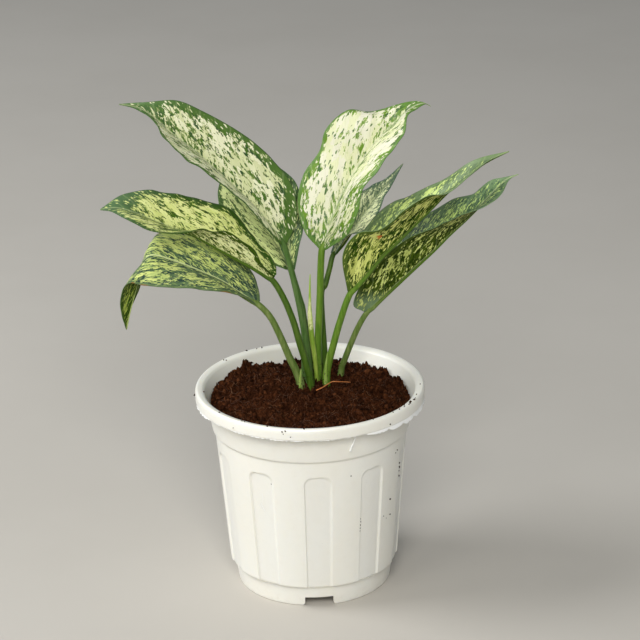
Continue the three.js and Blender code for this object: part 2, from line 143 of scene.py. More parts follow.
def tube(path, radii, sides, facing=PLAIN_FACING, shape=None):
    """A round skin along a path, closed at its ends. shape(angles, k) scales the radius round ring k."""
    path = np.asarray(path, float)
    along = unit(np.gradient(path, axis=0))
    side = unit(np.cross(along, facing))
    front = np.cross(side, along)
    angles = 2 * math.pi * np.arange(sides) / sides
    rings = []
    for k in range(len(path)):
        radius = radii[k] * (shape(angles, k) if shape else 1)
        forward, sideways = radius * np.cos(angles), radius * np.sin(angles)
        rings.append(path[k] + np.outer(forward, front[k]) + np.outer(sideways, side[k]))
    last = (len(path) - 1) * sides
    faces = grid_faces(len(path), sides, closed=True)
    faces.append(tuple(range(sides))[::-1])
    faces.append(tuple(last + k for k in range(sides)))
    return np.vstack(rings), faces


# ---------------------------------------------------------------- shader helpers


class Nodes:
    """Adds nodes to a material or a node group, with number or socket inputs."""

    def __init__(self, tree):
        self.tree = tree

    def put(self, socket, value):
        if isinstance(value, bpy.types.NodeSocket):
            self.tree.links.new(value, socket)
        elif isinstance(value, (tuple, list)) and len(value) == 3 and socket.type == "RGBA":
            socket.default_value = (*value, 1)
        else:
            socket.default_value = value

    def fill(self, node, inputs):
        for key, value in inputs.items():
            self.put(node.inputs[key], value)

    def add(self, kind, inputs, **settings):
        """A new node's outputs. The settings come first, since they can change which inputs it has."""
        node = self.tree.nodes.new(kind)
        for key, value in settings.items():
            setattr(node, key, value)
        self.fill(node, inputs)
        return node.outputs

    def math(self, operation, a, b=0.0):
        return self.add("ShaderNodeMath", {0: a, 1: b}, operation=operation)[0]

    def plus(self, a, b):
        return self.math("ADD", a, b)

    def minus(self, a, b):
        return self.math("SUBTRACT", a, b)

    def times(self, a, b):
        return self.math("MULTIPLY", a, b)

    def inverse(self, mask):
        return self.minus(1.0, mask)

    def weighted(self, *terms, offset=0.0):
        """The sum of the values, each times its weight, and the offset."""
        total = offset
        for value, weight in terms:
            total = self.plus(total, self.times(value, weight))
        return total

    def mixed(self, factor, a, b):
        return self.add("ShaderNodeMix", {0: factor, 2: a, 3: b}, data_type="FLOAT")[0]

    def step(self, value, low, high):
        """0 below low, 1 above high, soft between."""
        inputs = {"Value": value, "From Min": low, "From Max": high}
        return self.add("ShaderNodeMapRange", inputs, interpolation_type="SMOOTHSTEP")["Result"]

    def clouds(self, vector, scale, detail=2.0, roughness=0.5):
        """Noise, as one value (Fac) or three (Color)."""
        inputs = {"Vector": vector, "Scale": scale, "Detail": detail, "Roughness": roughness}
        return self.add("ShaderNodeTexNoise", inputs)

    def noise(self, vector, scale, detail=2.0, roughness=0.5):
        return self.clouds(vector, scale, detail, roughness)["Fac"]

    def cells(self, vector, scale, dimensions="3D"):
        """A mosaic of cells: the distance to each cell's centre, and a random colour for each cell."""
        inputs = {"Vector": vector, "Scale": scale, "Randomness": 1.0}
        return self.add("ShaderNodeTexVoronoi", inputs, feature="F1", voronoi_dimensions=dimensions)

    def mosaic(self, vector, scale, shift):
        """Three random values for each cell of a mosaic that is shifted away from the others."""
        return self.split(self.cells(self.shifted(vector, shift), scale)["Color"])

    def colour(self, factor, a, b):
        return self.add("ShaderNodeMix", {0: factor, 6: a, 7: b}, data_type="RGBA")[2]

    def coat(self, paint, mask, share, colour):
        """The paint, with its share of another colour laid over it where the mask is."""
        return self.colour(self.times(mask, share), paint, colour)

    def field(self, label):
        return self.add("ShaderNodeAttribute", {}, attribute_name=label)["Vector"]

    def split(self, vector):
        return self.add("ShaderNodeSeparateXYZ", {0: vector})

    def joined(self, x, y, z=0.0):
        return self.add("ShaderNodeCombineXYZ", {0: x, 1: y, 2: z})[0]

    def scaled(self, vector, factors):
        return self.add("ShaderNodeVectorMath", {0: vector, 1: factors}, operation="MULTIPLY")[0]

    def shifted(self, vector, shift):
        return self.add("ShaderNodeVectorMath", {0: vector, 1: shift}, operation="ADD")[0]

    def object_place(self):
        """Place in the frame, in millimetres."""
        return self.scaled(self.add("ShaderNodeTexCoord", {})["Object"], (1000, 1000, 1000))

    def bump(self, height, strength, distance):
        inputs = {"Strength": strength, "Distance": distance, "Height": height}
        return self.add("ShaderNodeBump", inputs)["Normal"]

    def group(self, name, inputs):
        return self.add("ShaderNodeGroup", inputs, node_tree=bpy.data.node_groups[name])

    def tint(self, place, colour, other, patch, share, grain):
        """The colour and grain of the uneven_tint group."""
        inputs = {
            "Place": place, "Colour": colour, "Other": other, "Patch": patch, "Share": share, "Grain": grain,
        }
        return self.group("uneven_tint", inputs)


def new_material(name):
    material = bpy.data.materials.new(name)
    material.use_nodes = True
    return material, Nodes(material.node_tree), material.node_tree.nodes["Principled BSDF"]


def new_group(name, inputs, outputs):
    """An empty node group, with its inputs as outputs of a node inside it, and the other way round."""
    tree = bpy.data.node_groups.new(name, "ShaderNodeTree")
    for label, kind, value in inputs:
        socket = tree.interface.new_socket(name=label, in_out="INPUT", socket_type=kind)
        if value is not None:
            socket.default_value = value
    for label, kind in outputs:
        tree.interface.new_socket(name=label, in_out="OUTPUT", socket_type=kind)
    return Nodes(tree), tree.nodes.new("NodeGroupInput").outputs, tree.nodes.new("NodeGroupOutput").inputs


FLOAT, COLOUR, VECTOR = "NodeSocketFloat", "NodeSocketColor", "NodeSocketVector"


def make_blade_mottling():
    """Where a blade is cream, half green or dark: a mosaic drawn out along its side veins."""
    nodes, given, out = new_group(
        "blade_mottling",
        [
            ("Flow", VECTOR, None),
            ("Amount", FLOAT, 0.5),
            ("Edge Distance", FLOAT, 10.0),
            ("Rib Distance", FLOAT, 10.0),
            ("Margin", FLOAT, 2.5),
            ("Patch Width", FLOAT, 3.0),
            ("Patch Length", FLOAT, 7.0),
            ("Clumping", FLOAT, 0.5),
            ("Specks", FLOAT, 0.1),
        ],
        [("Cream", FLOAT), ("Half", FLOAT), ("Dark", FLOAT), ("Yellow", FLOAT), ("Margin", FLOAT)],
    )
    stretch = nodes.joined(
        nodes.math("DIVIDE", 0.5, given["Patch Width"]), nodes.math("DIVIDE", 2.0, given["Patch Length"]), 1.0
    )
    even = nodes.scaled(given["Flow"], stretch)
    bends = nodes.clouds(even, 1.4, 2.0, 0.55)["Color"]
    place = nodes.shifted(even, nodes.scaled(nodes.shifted(bends, (-0.5, -0.5, -0.5)), (1.1, 1.1, 0)))
    large = nodes.mosaic(place, 0.6, (0, 0, 0))
    small = nodes.mosaic(place, 1.5, (17.3, 5.1, 2.7))
    tiny = nodes.mosaic(place, 3.2, (3.3, 45.0, 6.1))
    clouds = nodes.noise(nodes.shifted(place, (8.0, 1.0, 0.0)), 0.85, 3.0, 0.6)
    drift = nodes.noise(nodes.shifted(even, (9.0, 3.0, 5.0)), 0.3, 1.0)
    streaks = nodes.noise(nodes.scaled(nodes.shifted(even, (3.1, 40.2, 9.0)), (2.2, 0.5, 1)), 1.2, 2.0, 0.55)

    # The mosaic's relief: blocks of cells, and threads by the midrib
    near_rib = nodes.inverse(nodes.step(given["Rib Distance"], 0.5, 9.0))
    broad = nodes.weighted((drift, 1.6), (large[0], 0.3), offset=-0.45)
    fine = nodes.weighted((small[0], 0.5), (tiny[1], 0.2), (clouds, 1.5), offset=-0.6)
    blocks = nodes.mixed(given["Clumping"], fine, broad)
    threads = nodes.weighted((streaks, 1.8), (tiny[2], 0.2), offset=-0.5)
    relief = nodes.mixed(nodes.weighted((near_rib, 0.5), offset=0.05), blocks, threads)

    # The level above which the relief is cream: lower where the blade has much cream, higher by its edge
    edge, margin = given["Edge Distance"], given["Margin"]
    fade = nodes.inverse(nodes.step(edge, nodes.times(margin, 0.1), nodes.times(margin, 1.5)))
    plain_level = nodes.weighted((fade, 0.42), (near_rib, 0.08), offset=0.8)
    level = nodes.minus(plain_level, nodes.times(given["Amount"], 0.6))
    inside = nodes.step(edge, 0.6, 1.1)

    # Round specks, some of them green and some cream
    spot_x, spot_y, spot_seed = nodes.split(place)
    spot_place = nodes.joined(nodes.weighted((spot_x, 1.0), (spot_seed, 3.1)), spot_y)
    spot_cells = nodes.cells(spot_place, 1.25, "2D")
    chance = nodes.split(spot_cells["Color"])
    spot_radius = nodes.weighted((chance[1], 0.2), offset=0.13)
    spots = nodes.step(nodes.minus(spot_radius, spot_cells["Distance"]), -0.01, 0.01)
    green_spots = nodes.times(spots, nodes.math("LESS_THAN", chance[0], given["Specks"]))
    cream_spots = nodes.times(spots, nodes.math("GREATER_THAN", chance[0], 0.56))

    cream = nodes.step(relief, nodes.minus(level, 0.006), nodes.plus(level, 0.006))
    cream = nodes.times(cream, nodes.inverse(nodes.times(green_spots, 0.95)))
    cream = nodes.math("MAXIMUM", cream, nodes.times(cream_spots, nodes.step(given["Amount"], 0.15, 0.3)))
    half = nodes.step(relief, nodes.minus(level, 0.07), nodes.minus(level, 0.045))
    dark = nodes.weighted((small[2], 0.35), (clouds, 1.0), (drift, 0.8), offset=-0.58)
    yellow = nodes.step(nodes.weighted((large[1], 0.5), (drift, 0.5)), 0.4, 0.75)
    border = nodes.weighted((fade, 1.0), (clouds, 0.8), offset=-0.4)
    nodes.put(out["Cream"], nodes.times(cream, inside))
    nodes.put(out["Half"], nodes.times(nodes.times(half, inside), nodes.inverse(green_spots)))
    nodes.put(out["Dark"], nodes.step(dark, 0.39, 0.47))
    nodes.put(out["Yellow"], nodes.math("MAXIMUM", nodes.times(yellow, 0.55), nodes.times(near_rib, 0.4)))
    nodes.put(out["Margin"], nodes.step(border, 0.45, 0.6))


def make_vein_lines():
    """Fine side veins, as a mask and as a height."""
    nodes, given, out = new_group(
        "vein_lines",
        [("Flow", VECTOR, None), ("Spacing", FLOAT, 12.0), ("Width", FLOAT, 0.1)],
        [("Line", FLOAT), ("Height", FLOAT)],
    )
    wander = nodes.noise(nodes.scaled(given["Flow"], (0.03, 0.12, 1)), 1.0, 1.0)
    veins = nodes.math("DIVIDE", nodes.split(given["Flow"])[0], given["Spacing"])
    saw = nodes.math("FRACT", nodes.plus(veins, nodes.times(wander, 0.8)))
    line = nodes.inverse(nodes.step(nodes.math("ABSOLUTE", nodes.minus(saw, 0.5)), 0.0, given["Width"]))
    fine = nodes.noise(nodes.scaled(given["Flow"], (0.8, 0.4, 1)), 1.0)
    nodes.put(out["Line"], line)
    nodes.put(out["Height"], nodes.plus(nodes.times(line, -0.6), nodes.times(fine, 0.5)))


def make_uneven_tint():
    """A colour that drifts towards another in soft patches, with a fine grain for bump."""
    nodes, given, out = new_group(
        "uneven_tint",
        [
            ("Place", VECTOR, None),
            ("Colour", COLOUR, None),
            ("Other", COLOUR, None),
            ("Patch", FLOAT, 10.0),
            ("Share", FLOAT, 0.5),
            ("Grain", FLOAT, 1.0),
        ],
        [("Colour", COLOUR), ("Grain", FLOAT)],
    )
    drift = nodes.noise(given["Place"], nodes.math("DIVIDE", 1.0, given["Patch"]), 4.0, 0.6)
    patches = nodes.step(drift, 0.35, 0.7)
    nodes.put(out["Colour"], nodes.coat(given["Colour"], patches, given["Share"], given["Other"]))
    nodes.put(out["Grain"], nodes.noise(given["Place"], nodes.math("DIVIDE", 1.0, given["Grain"]), 3.0, 0.6))


make_blade_mottling()
make_vein_lines()
make_uneven_tint()


def blade_material(name, look, under=False):
    """One face of a blade: green ground, cream mosaic, pale midrib, plain green margin."""
    material, nodes, shader = new_material(name)
    flow = nodes.field("leaf_flow")
    edge, rib, run = nodes.split(nodes.field("leaf_zone"))
    amount, dry, margin = nodes.split(nodes.field("leaf_tint"))
    patch_width, patch_length = look["patch"]
    marks = nodes.group(
        "blade_mottling",
        {
            "Flow": flow, "Amount": amount, "Edge Distance": edge, "Rib Distance": rib, "Margin": margin,
            "Patch Width": patch_width, "Patch Length": patch_length,
            "Clumping": look["clumping"], "Specks": look["specks"],
        },
    )
    veins = nodes.group("vein_lines", {"Flow": flow})
    ground = nodes.colour(marks["Dark"], look["green"], look["dark"])
    ground = nodes.coat(ground, marks["Margin"], 0.8, look["edge"])
    # The look's lobe colour tints the base of the blade: a painted bluish grey sheen.
    if "lobe_sheen" in look:
        ground = nodes.colour(nodes.inverse(nodes.step(run, 0.08, 0.16)), ground, look["lobe_sheen"])
    if "tip" in look:
        ground = nodes.coat(ground, nodes.step(run, 0.62, 0.92), 0.75, look["tip"])
    ground = nodes.coat(ground, marks["Half"], 0.5, look["yellow"])
    light = nodes.colour(marks["Yellow"], look["cream"], look["yellow"])
    paint = nodes.colour(marks["Cream"], ground, light)
    paint = nodes.coat(paint, veins["Line"], 0.16, look["rib"])
    rib_mask = nodes.inverse(nodes.step(rib, look["rib_half"] * 0.7, look["rib_half"] * 1.3))
    rib_lines = nodes.plus(0.75, nodes.times(nodes.step(rib, 0.1, 0.3), 0.25))
    paint = nodes.coat(paint, nodes.times(rib_mask, look["rib_share"]), rib_lines, look["rib"])
    paint = nodes.coat(paint, nodes.inverse(nodes.step(edge, 0.25, 0.7)), look["line"], look["dark"])
    paint = nodes.colour(nodes.step(dry, 0.35, 0.8), paint, look["dried"])
    nodes.fill(shader, {
        "Base Color": paint,
        "Roughness": 0.6 if under else 0.38,
        "Specular IOR Level": 0.08 if under else 0.22,
        "Subsurface Weight": 0.04,
        "Subsurface Radius": (0.6, 1.0, 0.25),
        "Subsurface Scale": 0.0008,
        "Normal": nodes.bump(veins["Height"], 0.3, 0.0004),
    })
    return material


# How fleshy stalks and the rolled leaf shine and let light through
FLESH = {
    "Roughness": 0.45,
    "Specular IOR Level": 0.25,
    "Subsurface Weight": 0.08,
    "Subsurface Radius": (0.6, 1.0, 0.2),
    "Subsurface Scale": 0.001,
}


def stalk_material(name, colour, other):
    """Green with lengthwise streaks, olive where the stalk runs out under the blade, earthy at its foot."""
    material, nodes, shader = new_material(name)
    here = nodes.object_place()
    tint = nodes.tint(nodes.scaled(here, (1, 1, 0.12)), colour, other, patch=2.2, share=0.8, grain=0.5)
    paint = nodes.colour(nodes.split(nodes.field("stalk_run"))[0], tint["Colour"], (0.075, 0.14, 0.01))
    low = nodes.inverse(nodes.step(nodes.split(here)[2], 134, 158))
    specks = nodes.step(nodes.weighted((nodes.noise(here, 0.55, 2.0, 0.6), 1.0), (low, 0.12)), 0.7, 0.74)
    paint = nodes.coat(paint, specks, low, (0.03, 0.014, 0.006))
    nodes.fill(shader, {"Base Color": paint, "Normal": nodes.bump(tint["Grain"], 0.25, 0.0004), **FLESH})
    return material


# The rolled leaf from below upwards: two colours, how large their patches are, and the second one's share
YOUNG_TINTS = [
    ((0.2, 0.34, 0.03), (0.42, 0.52, 0.1), 2.0, 0.9),
    ((0.85, 0.86, 0.45), (0.36, 0.52, 0.06), 1.2, 0.9),
    ((0.22, 0.44, 0.03), (0.56, 0.66, 0.16), 1.4, 0.8),
]


def young_material(name):
    """The rolled leaf: green tip, a cream stretch with green streaks, yellow-green below."""
    material, nodes, shader = new_material(name)
    here = nodes.object_place()
    place = nodes.scaled(here, (1, 1, 0.15))
    lower, pale, tip = (nodes.tint(place, *tint, grain=0.5) for tint in YOUNG_TINTS)
    height = nodes.weighted((nodes.split(here)[2], 1.0), (nodes.noise(here, 0.5), 14.0), offset=-7.0)
    paint = nodes.colour(nodes.step(height, 170, 175), lower["Colour"], pale["Colour"])
    paint = nodes.colour(nodes.step(height, 187, 194), paint, tip["Colour"])
    nodes.fill(shader, {"Base Color": paint, "Normal": nodes.bump(lower["Grain"], 0.25, 0.0004), **FLESH})
    return material


def pot_material(name):
    """Moulded off-white plastic: faint clouding, fine grain, scattered specks, earth dust low down."""
    material, nodes, shader = new_material(name)
    place = nodes.object_place()
    along = nodes.scaled(place, (1, 1, 0.45))
    tint = nodes.tint(along, (0.86, 0.85, 0.785), (0.84, 0.815, 0.73), patch=34.0, share=0.6, grain=1.4)
    low = nodes.inverse(nodes.step(nodes.split(place)[2], 0.0, 9.0))
    smears = nodes.step(nodes.noise(place, 0.16, 5.0, 0.7), 0.45, 0.75)
    paint = nodes.coat(tint["Colour"], nodes.weighted((low, 0.22), offset=0.035), smears, (0.45, 0.36, 0.25))
    specks = nodes.step(nodes.noise(place, 0.9, 2.0, 0.6), 0.765, 0.78)
    paint = nodes.coat(paint, specks, 0.2, (0.2, 0.14, 0.09))
    nodes.fill(shader, {
        "Base Color": paint,
        "Roughness": nodes.weighted((tint["Grain"], 0.14), offset=0.28),
        "Subsurface Weight": 0.15,
        "Subsurface Radius": (1.0, 0.85, 0.6),
        "Subsurface Scale": 0.003,
        "Normal": nodes.bump(tint["Grain"], 0.1, 0.0004),
    })
    return material


def earth_material(name, colour, other):
    """Coir mix, matte: crumbly bump, threads of lighter fibre, damp patches."""
    material, nodes, shader = new_material(name)
    place = nodes.object_place()
    tint = nodes.tint(place, colour, other, patch=2.2, share=1.0, grain=0.45)
    bent = nodes.shifted(place, nodes.scaled(nodes.clouds(place, 0.16)["Color"], (22, 22, 22)))
    threads = nodes.step(nodes.noise(nodes.scaled(bent, (0.35, 2.6, 1.1)), 1.0, 2.0, 0.6), 0.63, 0.72)
    paint = nodes.coat(tint["Colour"], threads, 0.5, (0.15, 0.055, 0.024))
    damp = nodes.step(nodes.noise(nodes.shifted(place, (40, 0, 0)), 0.14, 3.0, 0.6), 0.42, 0.6)
    paint = nodes.coat(paint, damp, 0.45, (0.014, 0.004, 0.0015))
    nodes.fill(shader, {
        "Base Color": paint,
        "Roughness": 0.95,
        "Specular IOR Level": 0.05,
        "Normal": nodes.bump(tint["Grain"], 1.0, 0.0009),
    })
    return material


def plain_material(name, colour, other, roughness, patch=6.0):
    material, nodes, shader = new_material(name)
    tint = nodes.tint(nodes.object_place(), colour, other, patch, share=1.0, grain=0.6)
    bump = nodes.bump(tint["Grain"], 0.3, 0.0003)
    nodes.fill(shader, {"Base Color": tint["Colour"], "Roughness": roughness, "Normal": bump})
    return material


# ---------------------------------------------------------------- pot

# The same profile, flutes, notches and holes as the solid's
FLUTE_COUNT = 10
FLUTE_PITCH = 360 / FLUTE_COUNT
FLUTE_FIRST = 3.2
FLUTE_HALF = 8.0
FLUTE_CORNER = 5.0
FLUTE_SHOULDER = 92.0
FLUTE_TOP = 97.6
FLUTE_DEPTH = 1.0
# Width of a flute's left and right edges
FLUTE_EDGES = (0.9, 1.9)
NOTCH_AZIMUTHS = [3, 123, 243]
NOTCH_WIDTH = 18.8
NOTCH_HEIGHT = 6.6
NOTCH_CORNER = 0.6
NOTCH_FLARE = (3.0, 3.4)
# How far in front of the axis the cutter of a notch starts and ends
NOTCH_CUT = (-44.0, -58.0)
DRAIN_COUNT = 6
DRAIN_RADIUS = 4.0
DRAIN_CIRCLE = 30.0
DRAIN_FIRST = 30

BODY_FOOT = (56.4, 16.2)
BODY_HEAD = (63.7, 108.4)
POT_RIM = [
    (76, 130.4), (76, 135.6), (75.7, 136.8), (75.2, 137.5),
    (74.5, 137.9), (73.2, 137.7), (71.2, 137.1), (69.8, 135.8),
]
POT_PROFILE = [
    (0, 7), (47.6, 7), (48.1, 0.6), (48.6, 0), (50.7, 0), (51.2, 0.6), (53.3, 15.2), (55.8, 15.4),
    BODY_FOOT, BODY_HEAD, (64.3, 109.3), (65.4, 110.2), (66.3, 116), (67.3, 122), (68.7, 129),
    (70.8, 133.4), (71.9, 134.9), (73.3, 135.4), (74.2, 134.8), (74.9, 130.4), (75.4, 130), *POT_RIM,
    (66.8, 128), (65.5, 121), (63.6, 110.6), (61.9, 107.6), (54.7, 17.6), (53.7, 16.7), (51.5, 16),
    (50.5, 9.8), (49.8, 9), (0, 9),
]
# Heights between which the flutes may press the outside in, and above which the pot is a little out of round
BODY_SPAN = (15.4, 108.9)
ROUND_BELOW = 128
# A rise longer than this is the body's outside
LONG_RISE = 40


def soften_profile(profile, reach=0.7):
    """Rounds each corner of the profile over a short reach."""
    profile = [np.array(p, float) for p in profile]
    soft = [profile[0]]
    for before, corner, after in zip(profile, profile[1:], profile[2:]):
        back = min(reach, 0.45 * np.linalg.norm(before - corner))
        ahead = min(reach, 0.45 * np.linalg.norm(after - corner))
        start = corner + back * unit(before - corner)
        end = corner + ahead * unit(after - corner)
        for t in (0, 0.33, 0.67, 1):
            soft.append((1 - t) ** 2 * start + 2 * t * (1 - t) * corner + t * t * end)
    soft.append(profile[-1])
    return soft


def refine_profile(profile):
    """Adds rows on long stretches, close together on the body's outside where the flutes' arches are."""
    rows = [profile[0]]
    for here, there in zip(profile, profile[1:]):
        low, high = here[1], there[1]
        if high - low > LONG_RISE:
            levels = np.concatenate(
                [np.arange(low + 2.5, 87, 3.0), np.arange(87, 99.2, 0.55), np.arange(100.5, high, 2.5)]
            )
            rows.extend(here + (there - here) * (z - low) / (high - low) for z in levels)
        else:
            count = int(np.linalg.norm(there - here) // 6)
            rows.extend(here + (there - here) * k / (count + 1) for k in range(1, count + 1))
        rows.append(there)
    return rows


def pot_azimuths():
    """Columns round the pot, in degrees, close together at the flutes' edges."""
    near = [9.3, 8.8, 8.4, 8.0, 7.6, 7.2, 6.7, 6.0, 5.2, 4.4, 3.5, 2.6, 1.7, 0.9]
    steps = [-k for k in near] + [0.0] + near[::-1] + [11.4, 13.8, 16.2, 18.6, 21.0, 23.2, 25.2]
    return np.array([FLUTE_FIRST + FLUTE_PITCH * k + step for k in range(FLUTE_COUNT) for step in steps])


def flute_depth(azimuth, z, radius):
    """How deep the outside is pressed in at each column of a row at height z."""
    off = (azimuth - FLUTE_FIRST + FLUTE_PITCH / 2) % FLUTE_PITCH - FLUTE_PITCH / 2
    edge = np.where(off < 0, FLUTE_EDGES[0], FLUTE_EDGES[1])
    off = np.abs(off)
    rise = max(0.0, (z - FLUTE_SHOULDER) / (FLUTE_TOP - FLUTE_SHOULDER))
    arc = radius * math.radians(1)
    if rise == 0:
        inside = (FLUTE_HALF - off) * arc
    else:
        corner = np.maximum(0, off - FLUTE_HALF + FLUTE_CORNER) / FLUTE_CORNER
        inside = (1 - np.hypot(corner, rise)) * FLUTE_CORNER * arc
    return FLUTE_DEPTH * soft_step(inside, -edge / 2, edge / 2)


def notch_outline():
    """Front view of a foot notch: flared at the foot, rounded at its upper corners."""
    half = NOTCH_WIDTH / 2
    flare, flare_rise = NOTCH_FLARE
    outline = [(half + flare, -3)]
    for t in np.linspace(0, 1, 9):
        outline.append((half + flare * (1 - t) ** 2, flare_rise * t * t))
    for angle in np.radians(np.linspace(0, 90, 7)):
        across, up = NOTCH_CORNER * (1 - math.cos(angle)), NOTCH_CORNER * (1 - math.sin(angle))
        outline.append((half - across, NOTCH_HEIGHT - up))
    return outline + [(-x, z) for x, z in reversed(outline)]


def pot_cutters():
    """Foot notches and drain holes, as one mesh to be cut away."""
    cutter = bmesh.new()
    outline = notch_outline()
    count = len(outline)
    for azimuth in NOTCH_AZIMUTHS:
        turn = math.radians(azimuth)
        rings = []
        for y in NOTCH_CUT:
            ring = []
            for x, z in outline:
                place = (x * math.cos(turn) - y * math.sin(turn), x * math.sin(turn) + y * math.cos(turn), z)
                ring.append(cutter.verts.new(np.array(place) * MM + POT_AXIS))
            rings.append(ring)
        near, far = rings
        for k in range(count):
            following = (k + 1) % count
            cutter.faces.new((near[k], near[following], far[following], far[k]))
        cutter.faces.new(near[::-1])
        cutter.faces.new(far)
    for k in range(DRAIN_COUNT):
        centre = np.array(round_axis(DRAIN_FIRST + 360 / DRAIN_COUNT * k, DRAIN_CIRCLE, 7.5)) * MM + POT_AXIS
        radius = DRAIN_RADIUS * MM
        hole = bmesh.ops.create_cone(
            cutter, segments=32, radius1=radius, radius2=radius, depth=6 * MM, cap_ends=True
        )
        bmesh.ops.translate(cutter, verts=hole["verts"], vec=Vector(centre))
    bmesh.ops.recalc_face_normals(cutter, faces=cutter.faces)
    mesh = bpy.data.meshes.new("pot_cutters")
    cutter.to_mesh(mesh)
    cutter.free()
    return bpy.data.objects.new("pot_cutters", mesh)


def spun_pot():
    """The profile spun round the axis, with the flutes pressed in."""
    profile = refine_profile(soften_profile(POT_PROFILE))
    azimuth = pot_azimuths()
    turn = np.radians(azimuth)
    columns = len(turn)
    wobble = 0.12 * np.sin(2 * turn + 0.7) + 0.07 * np.sin(5 * turn + 2.0)
    rings = []
    for (r, z), (_, next_z) in zip(profile[1:], profile[2:]):
        radius = np.full(columns, float(r))
        if BODY_SPAN[0] < z < BODY_SPAN[1] and next_z >= z:
            radius = radius - flute_depth(azimuth, z, r)
        if z > ROUND_BELOW:
            radius = radius + wobble
        level = np.full(columns, float(z))
        rings.append(np.stack([radius * np.sin(turn), -radius * np.cos(turn), level], axis=1))
    faces = grid_faces(len(rings), columns, closed=True)
    under, floor = len(rings) * columns, len(rings) * columns + 1
    last = (len(rings) - 1) * columns
    for k in range(columns):
        faces.append((under, (k + 1) % columns, k))
        faces.append((floor, last + k, last + (k + 1) % columns))
    return np.vstack([*rings, [0, 0, profile[0][1]], [0, 0, profile[-1][1]]]), faces


def make_pot(plastic):
    points, faces = spun_pot()
    pot = make_piece("pot_shell", points, faces, [plastic], ["pot"])
    cutters = pot_cutters()
    bpy.context.scene.collection.objects.link(cutters)
    cut = pot.modifiers.new("notches_and_drains", "BOOLEAN")
    cut.operation = "DIFFERENCE"
    cut.solver = "EXACT"
    cut.object = cutters
    bpy.context.view_layer.update()
    cut_mesh = bpy.data.meshes.new_from_object(pot.evaluated_get(bpy.context.evaluated_depsgraph_get()))
    pot.modifiers.remove(cut)
    pot.data = cut_mesh
    cut_mesh.name = "pot_shell"
    bpy.data.objects.remove(cutters)
    cut_mesh.set_sharp_from_angle(angle=math.radians(38))


# ---------------------------------------------------------------- soil

# The heap's edge, rise and bumps are the solid's
SOIL_EDGE = 127.5
SOIL_RISE = 6.0
SOIL_SPREAD = 66
SOIL_BUMP = 0.9
SOIL_RADIUS = 65.9
SOIL_WALL = [
    (49.4, 9.4), (50.1, 10.1), (51.1, 16.3), (53.3, 17.0), (54.3, 17.9), (61.5, 107.8), (63.2, 110.8),
    (65.1, 121.2), (65.6, 124),
]
SOIL_SIDES = 400
SOIL_RINGS = 130


def soil_height(x, y):
    """The heap's smooth top, the same as the solid's."""
    r = np.hypot(x, y) / SOIL_SPREAD
    bumps = np.sin(0.31 * x + 0.9) * np.sin(0.27 * y - 0.4) + 0.7 * np.sin(0.16 * x - 0.23 * y + 2.1)
    bumps = bumps + 0.5 * np.sin(0.47 * y + 0.12 * x)
    return SOIL_EDGE + SOIL_RISE * (1 - r * r) + SOIL_BUMP * bumps


# Raised clods by the wall: x, y, height, radius
SOIL_CLODS = [
    (-43, 47, 9.0, 5), (-51, 36, 5.5, 7), (-60, 16, 3.6, 8), (-62, -6, 2.0, 8), (-30, 55, 2.8, 6),
    (-8, 60, 2.2, 7), (34, 52, 2.4, 7), (47, 41, 3.2, 6), (58, 22, 1.8, 7), (20, 58, 1.8, 5),
]


def crumbly(x, y):
    """Clods and crumbs on the heap: how far the top stands off its smooth height at a point."""
    clods = noise.noise(Vector((x * 0.12, y * 0.12, 3.7)))
    lumps = noise.turbulence(Vector((x * 0.26, y * 0.26, 9.1)), 3, True)
    crumbs = noise.turbulence(Vector((x * 0.75, y * 0.75, 1.3)), 4, True)
    raised = sum(h * math.exp(-((x - a) ** 2 + (y - b) ** 2) / (r * r)) for a, b, h, r in SOIL_CLODS)
    return 1.8 * clods + 4.0 * (lumps - 0.5) + 2.4 * (crumbs - 0.5) + raised * (0.55 + 0.9 * lumps)


def soil_top(x, y):
    return float(soil_height(x, y)) + crumbly(x, y)


def make_soil(earth):
    turn = 2 * math.pi * np.arange(SOIL_SIDES) / SOIL_SIDES
    east, north = np.cos(turn), np.sin(turn)
    rings = [np.stack([r * east, r * north, np.full(SOIL_SIDES, z)], axis=1) for r, z in SOIL_WALL]
    for k in range(SOIL_RINGS):
        r = SOIL_RADIUS * (1 - k / SOIL_RINGS)
        x, y = r * east, r * north
        rings.append(np.stack([x, y, [soil_top(a, b) for a, b in zip(x, y)]], axis=1))
    faces = grid_faces(len(rings), SOIL_SIDES, closed=True)
    middle = len(rings) * SOIL_SIDES
    last = middle - SOIL_SIDES
    faces.extend((last + k, last + (k + 1) % SOIL_SIDES, middle) for k in range(SOIL_SIDES))
    faces.append(tuple(range(SOIL_SIDES))[::-1])
    make_piece("soil_heap", np.vstack([*rings, [0, 0, soil_top(0, 0)]]), faces, [earth], ["soil"])


def lump_forms(count, seed):
    """A few ragged lumps, of unit size, to be copied as crumbs."""
    forms = []
    for k in range(count):
        ball = bmesh.new()
        bmesh.ops.create_icosphere(ball, subdivisions=2 if k % 4 == 0 else 1, radius=1)
        points = []
        for vertex in ball.verts:
            push = noise.noise(vertex.co * 1.7 + Vector((seed + 7.0 * k, 0, 0)))
            points.append(vertex.co * (0.8 + 0.95 * push))
        faces = [tuple(v.index for v in face.verts) for face in ball.faces]
        forms.append((np.array(points), faces))
        ball.free()
    return forms


def turned(points, draw):
    """Points turned to a random attitude."""
    a, b, c = (draw.uniform(0, 2 * math.pi) for _ in range(3))
    ca, sa, cb, sb, cc, sc = math.cos(a), math.sin(a), math.cos(b), math.sin(b), math.cos(c), math.sin(c)
    turn = np.array([[ca * cb, ca * sb * sc - sa * cc, ca * sb * cc + sa * sc],
                     [sa * cb, sa * sb * sc + ca * cc, sa * sb * cc - ca * sc],
                     [-sb, cb * sc, cb * cc]])
    return points @ turn.T


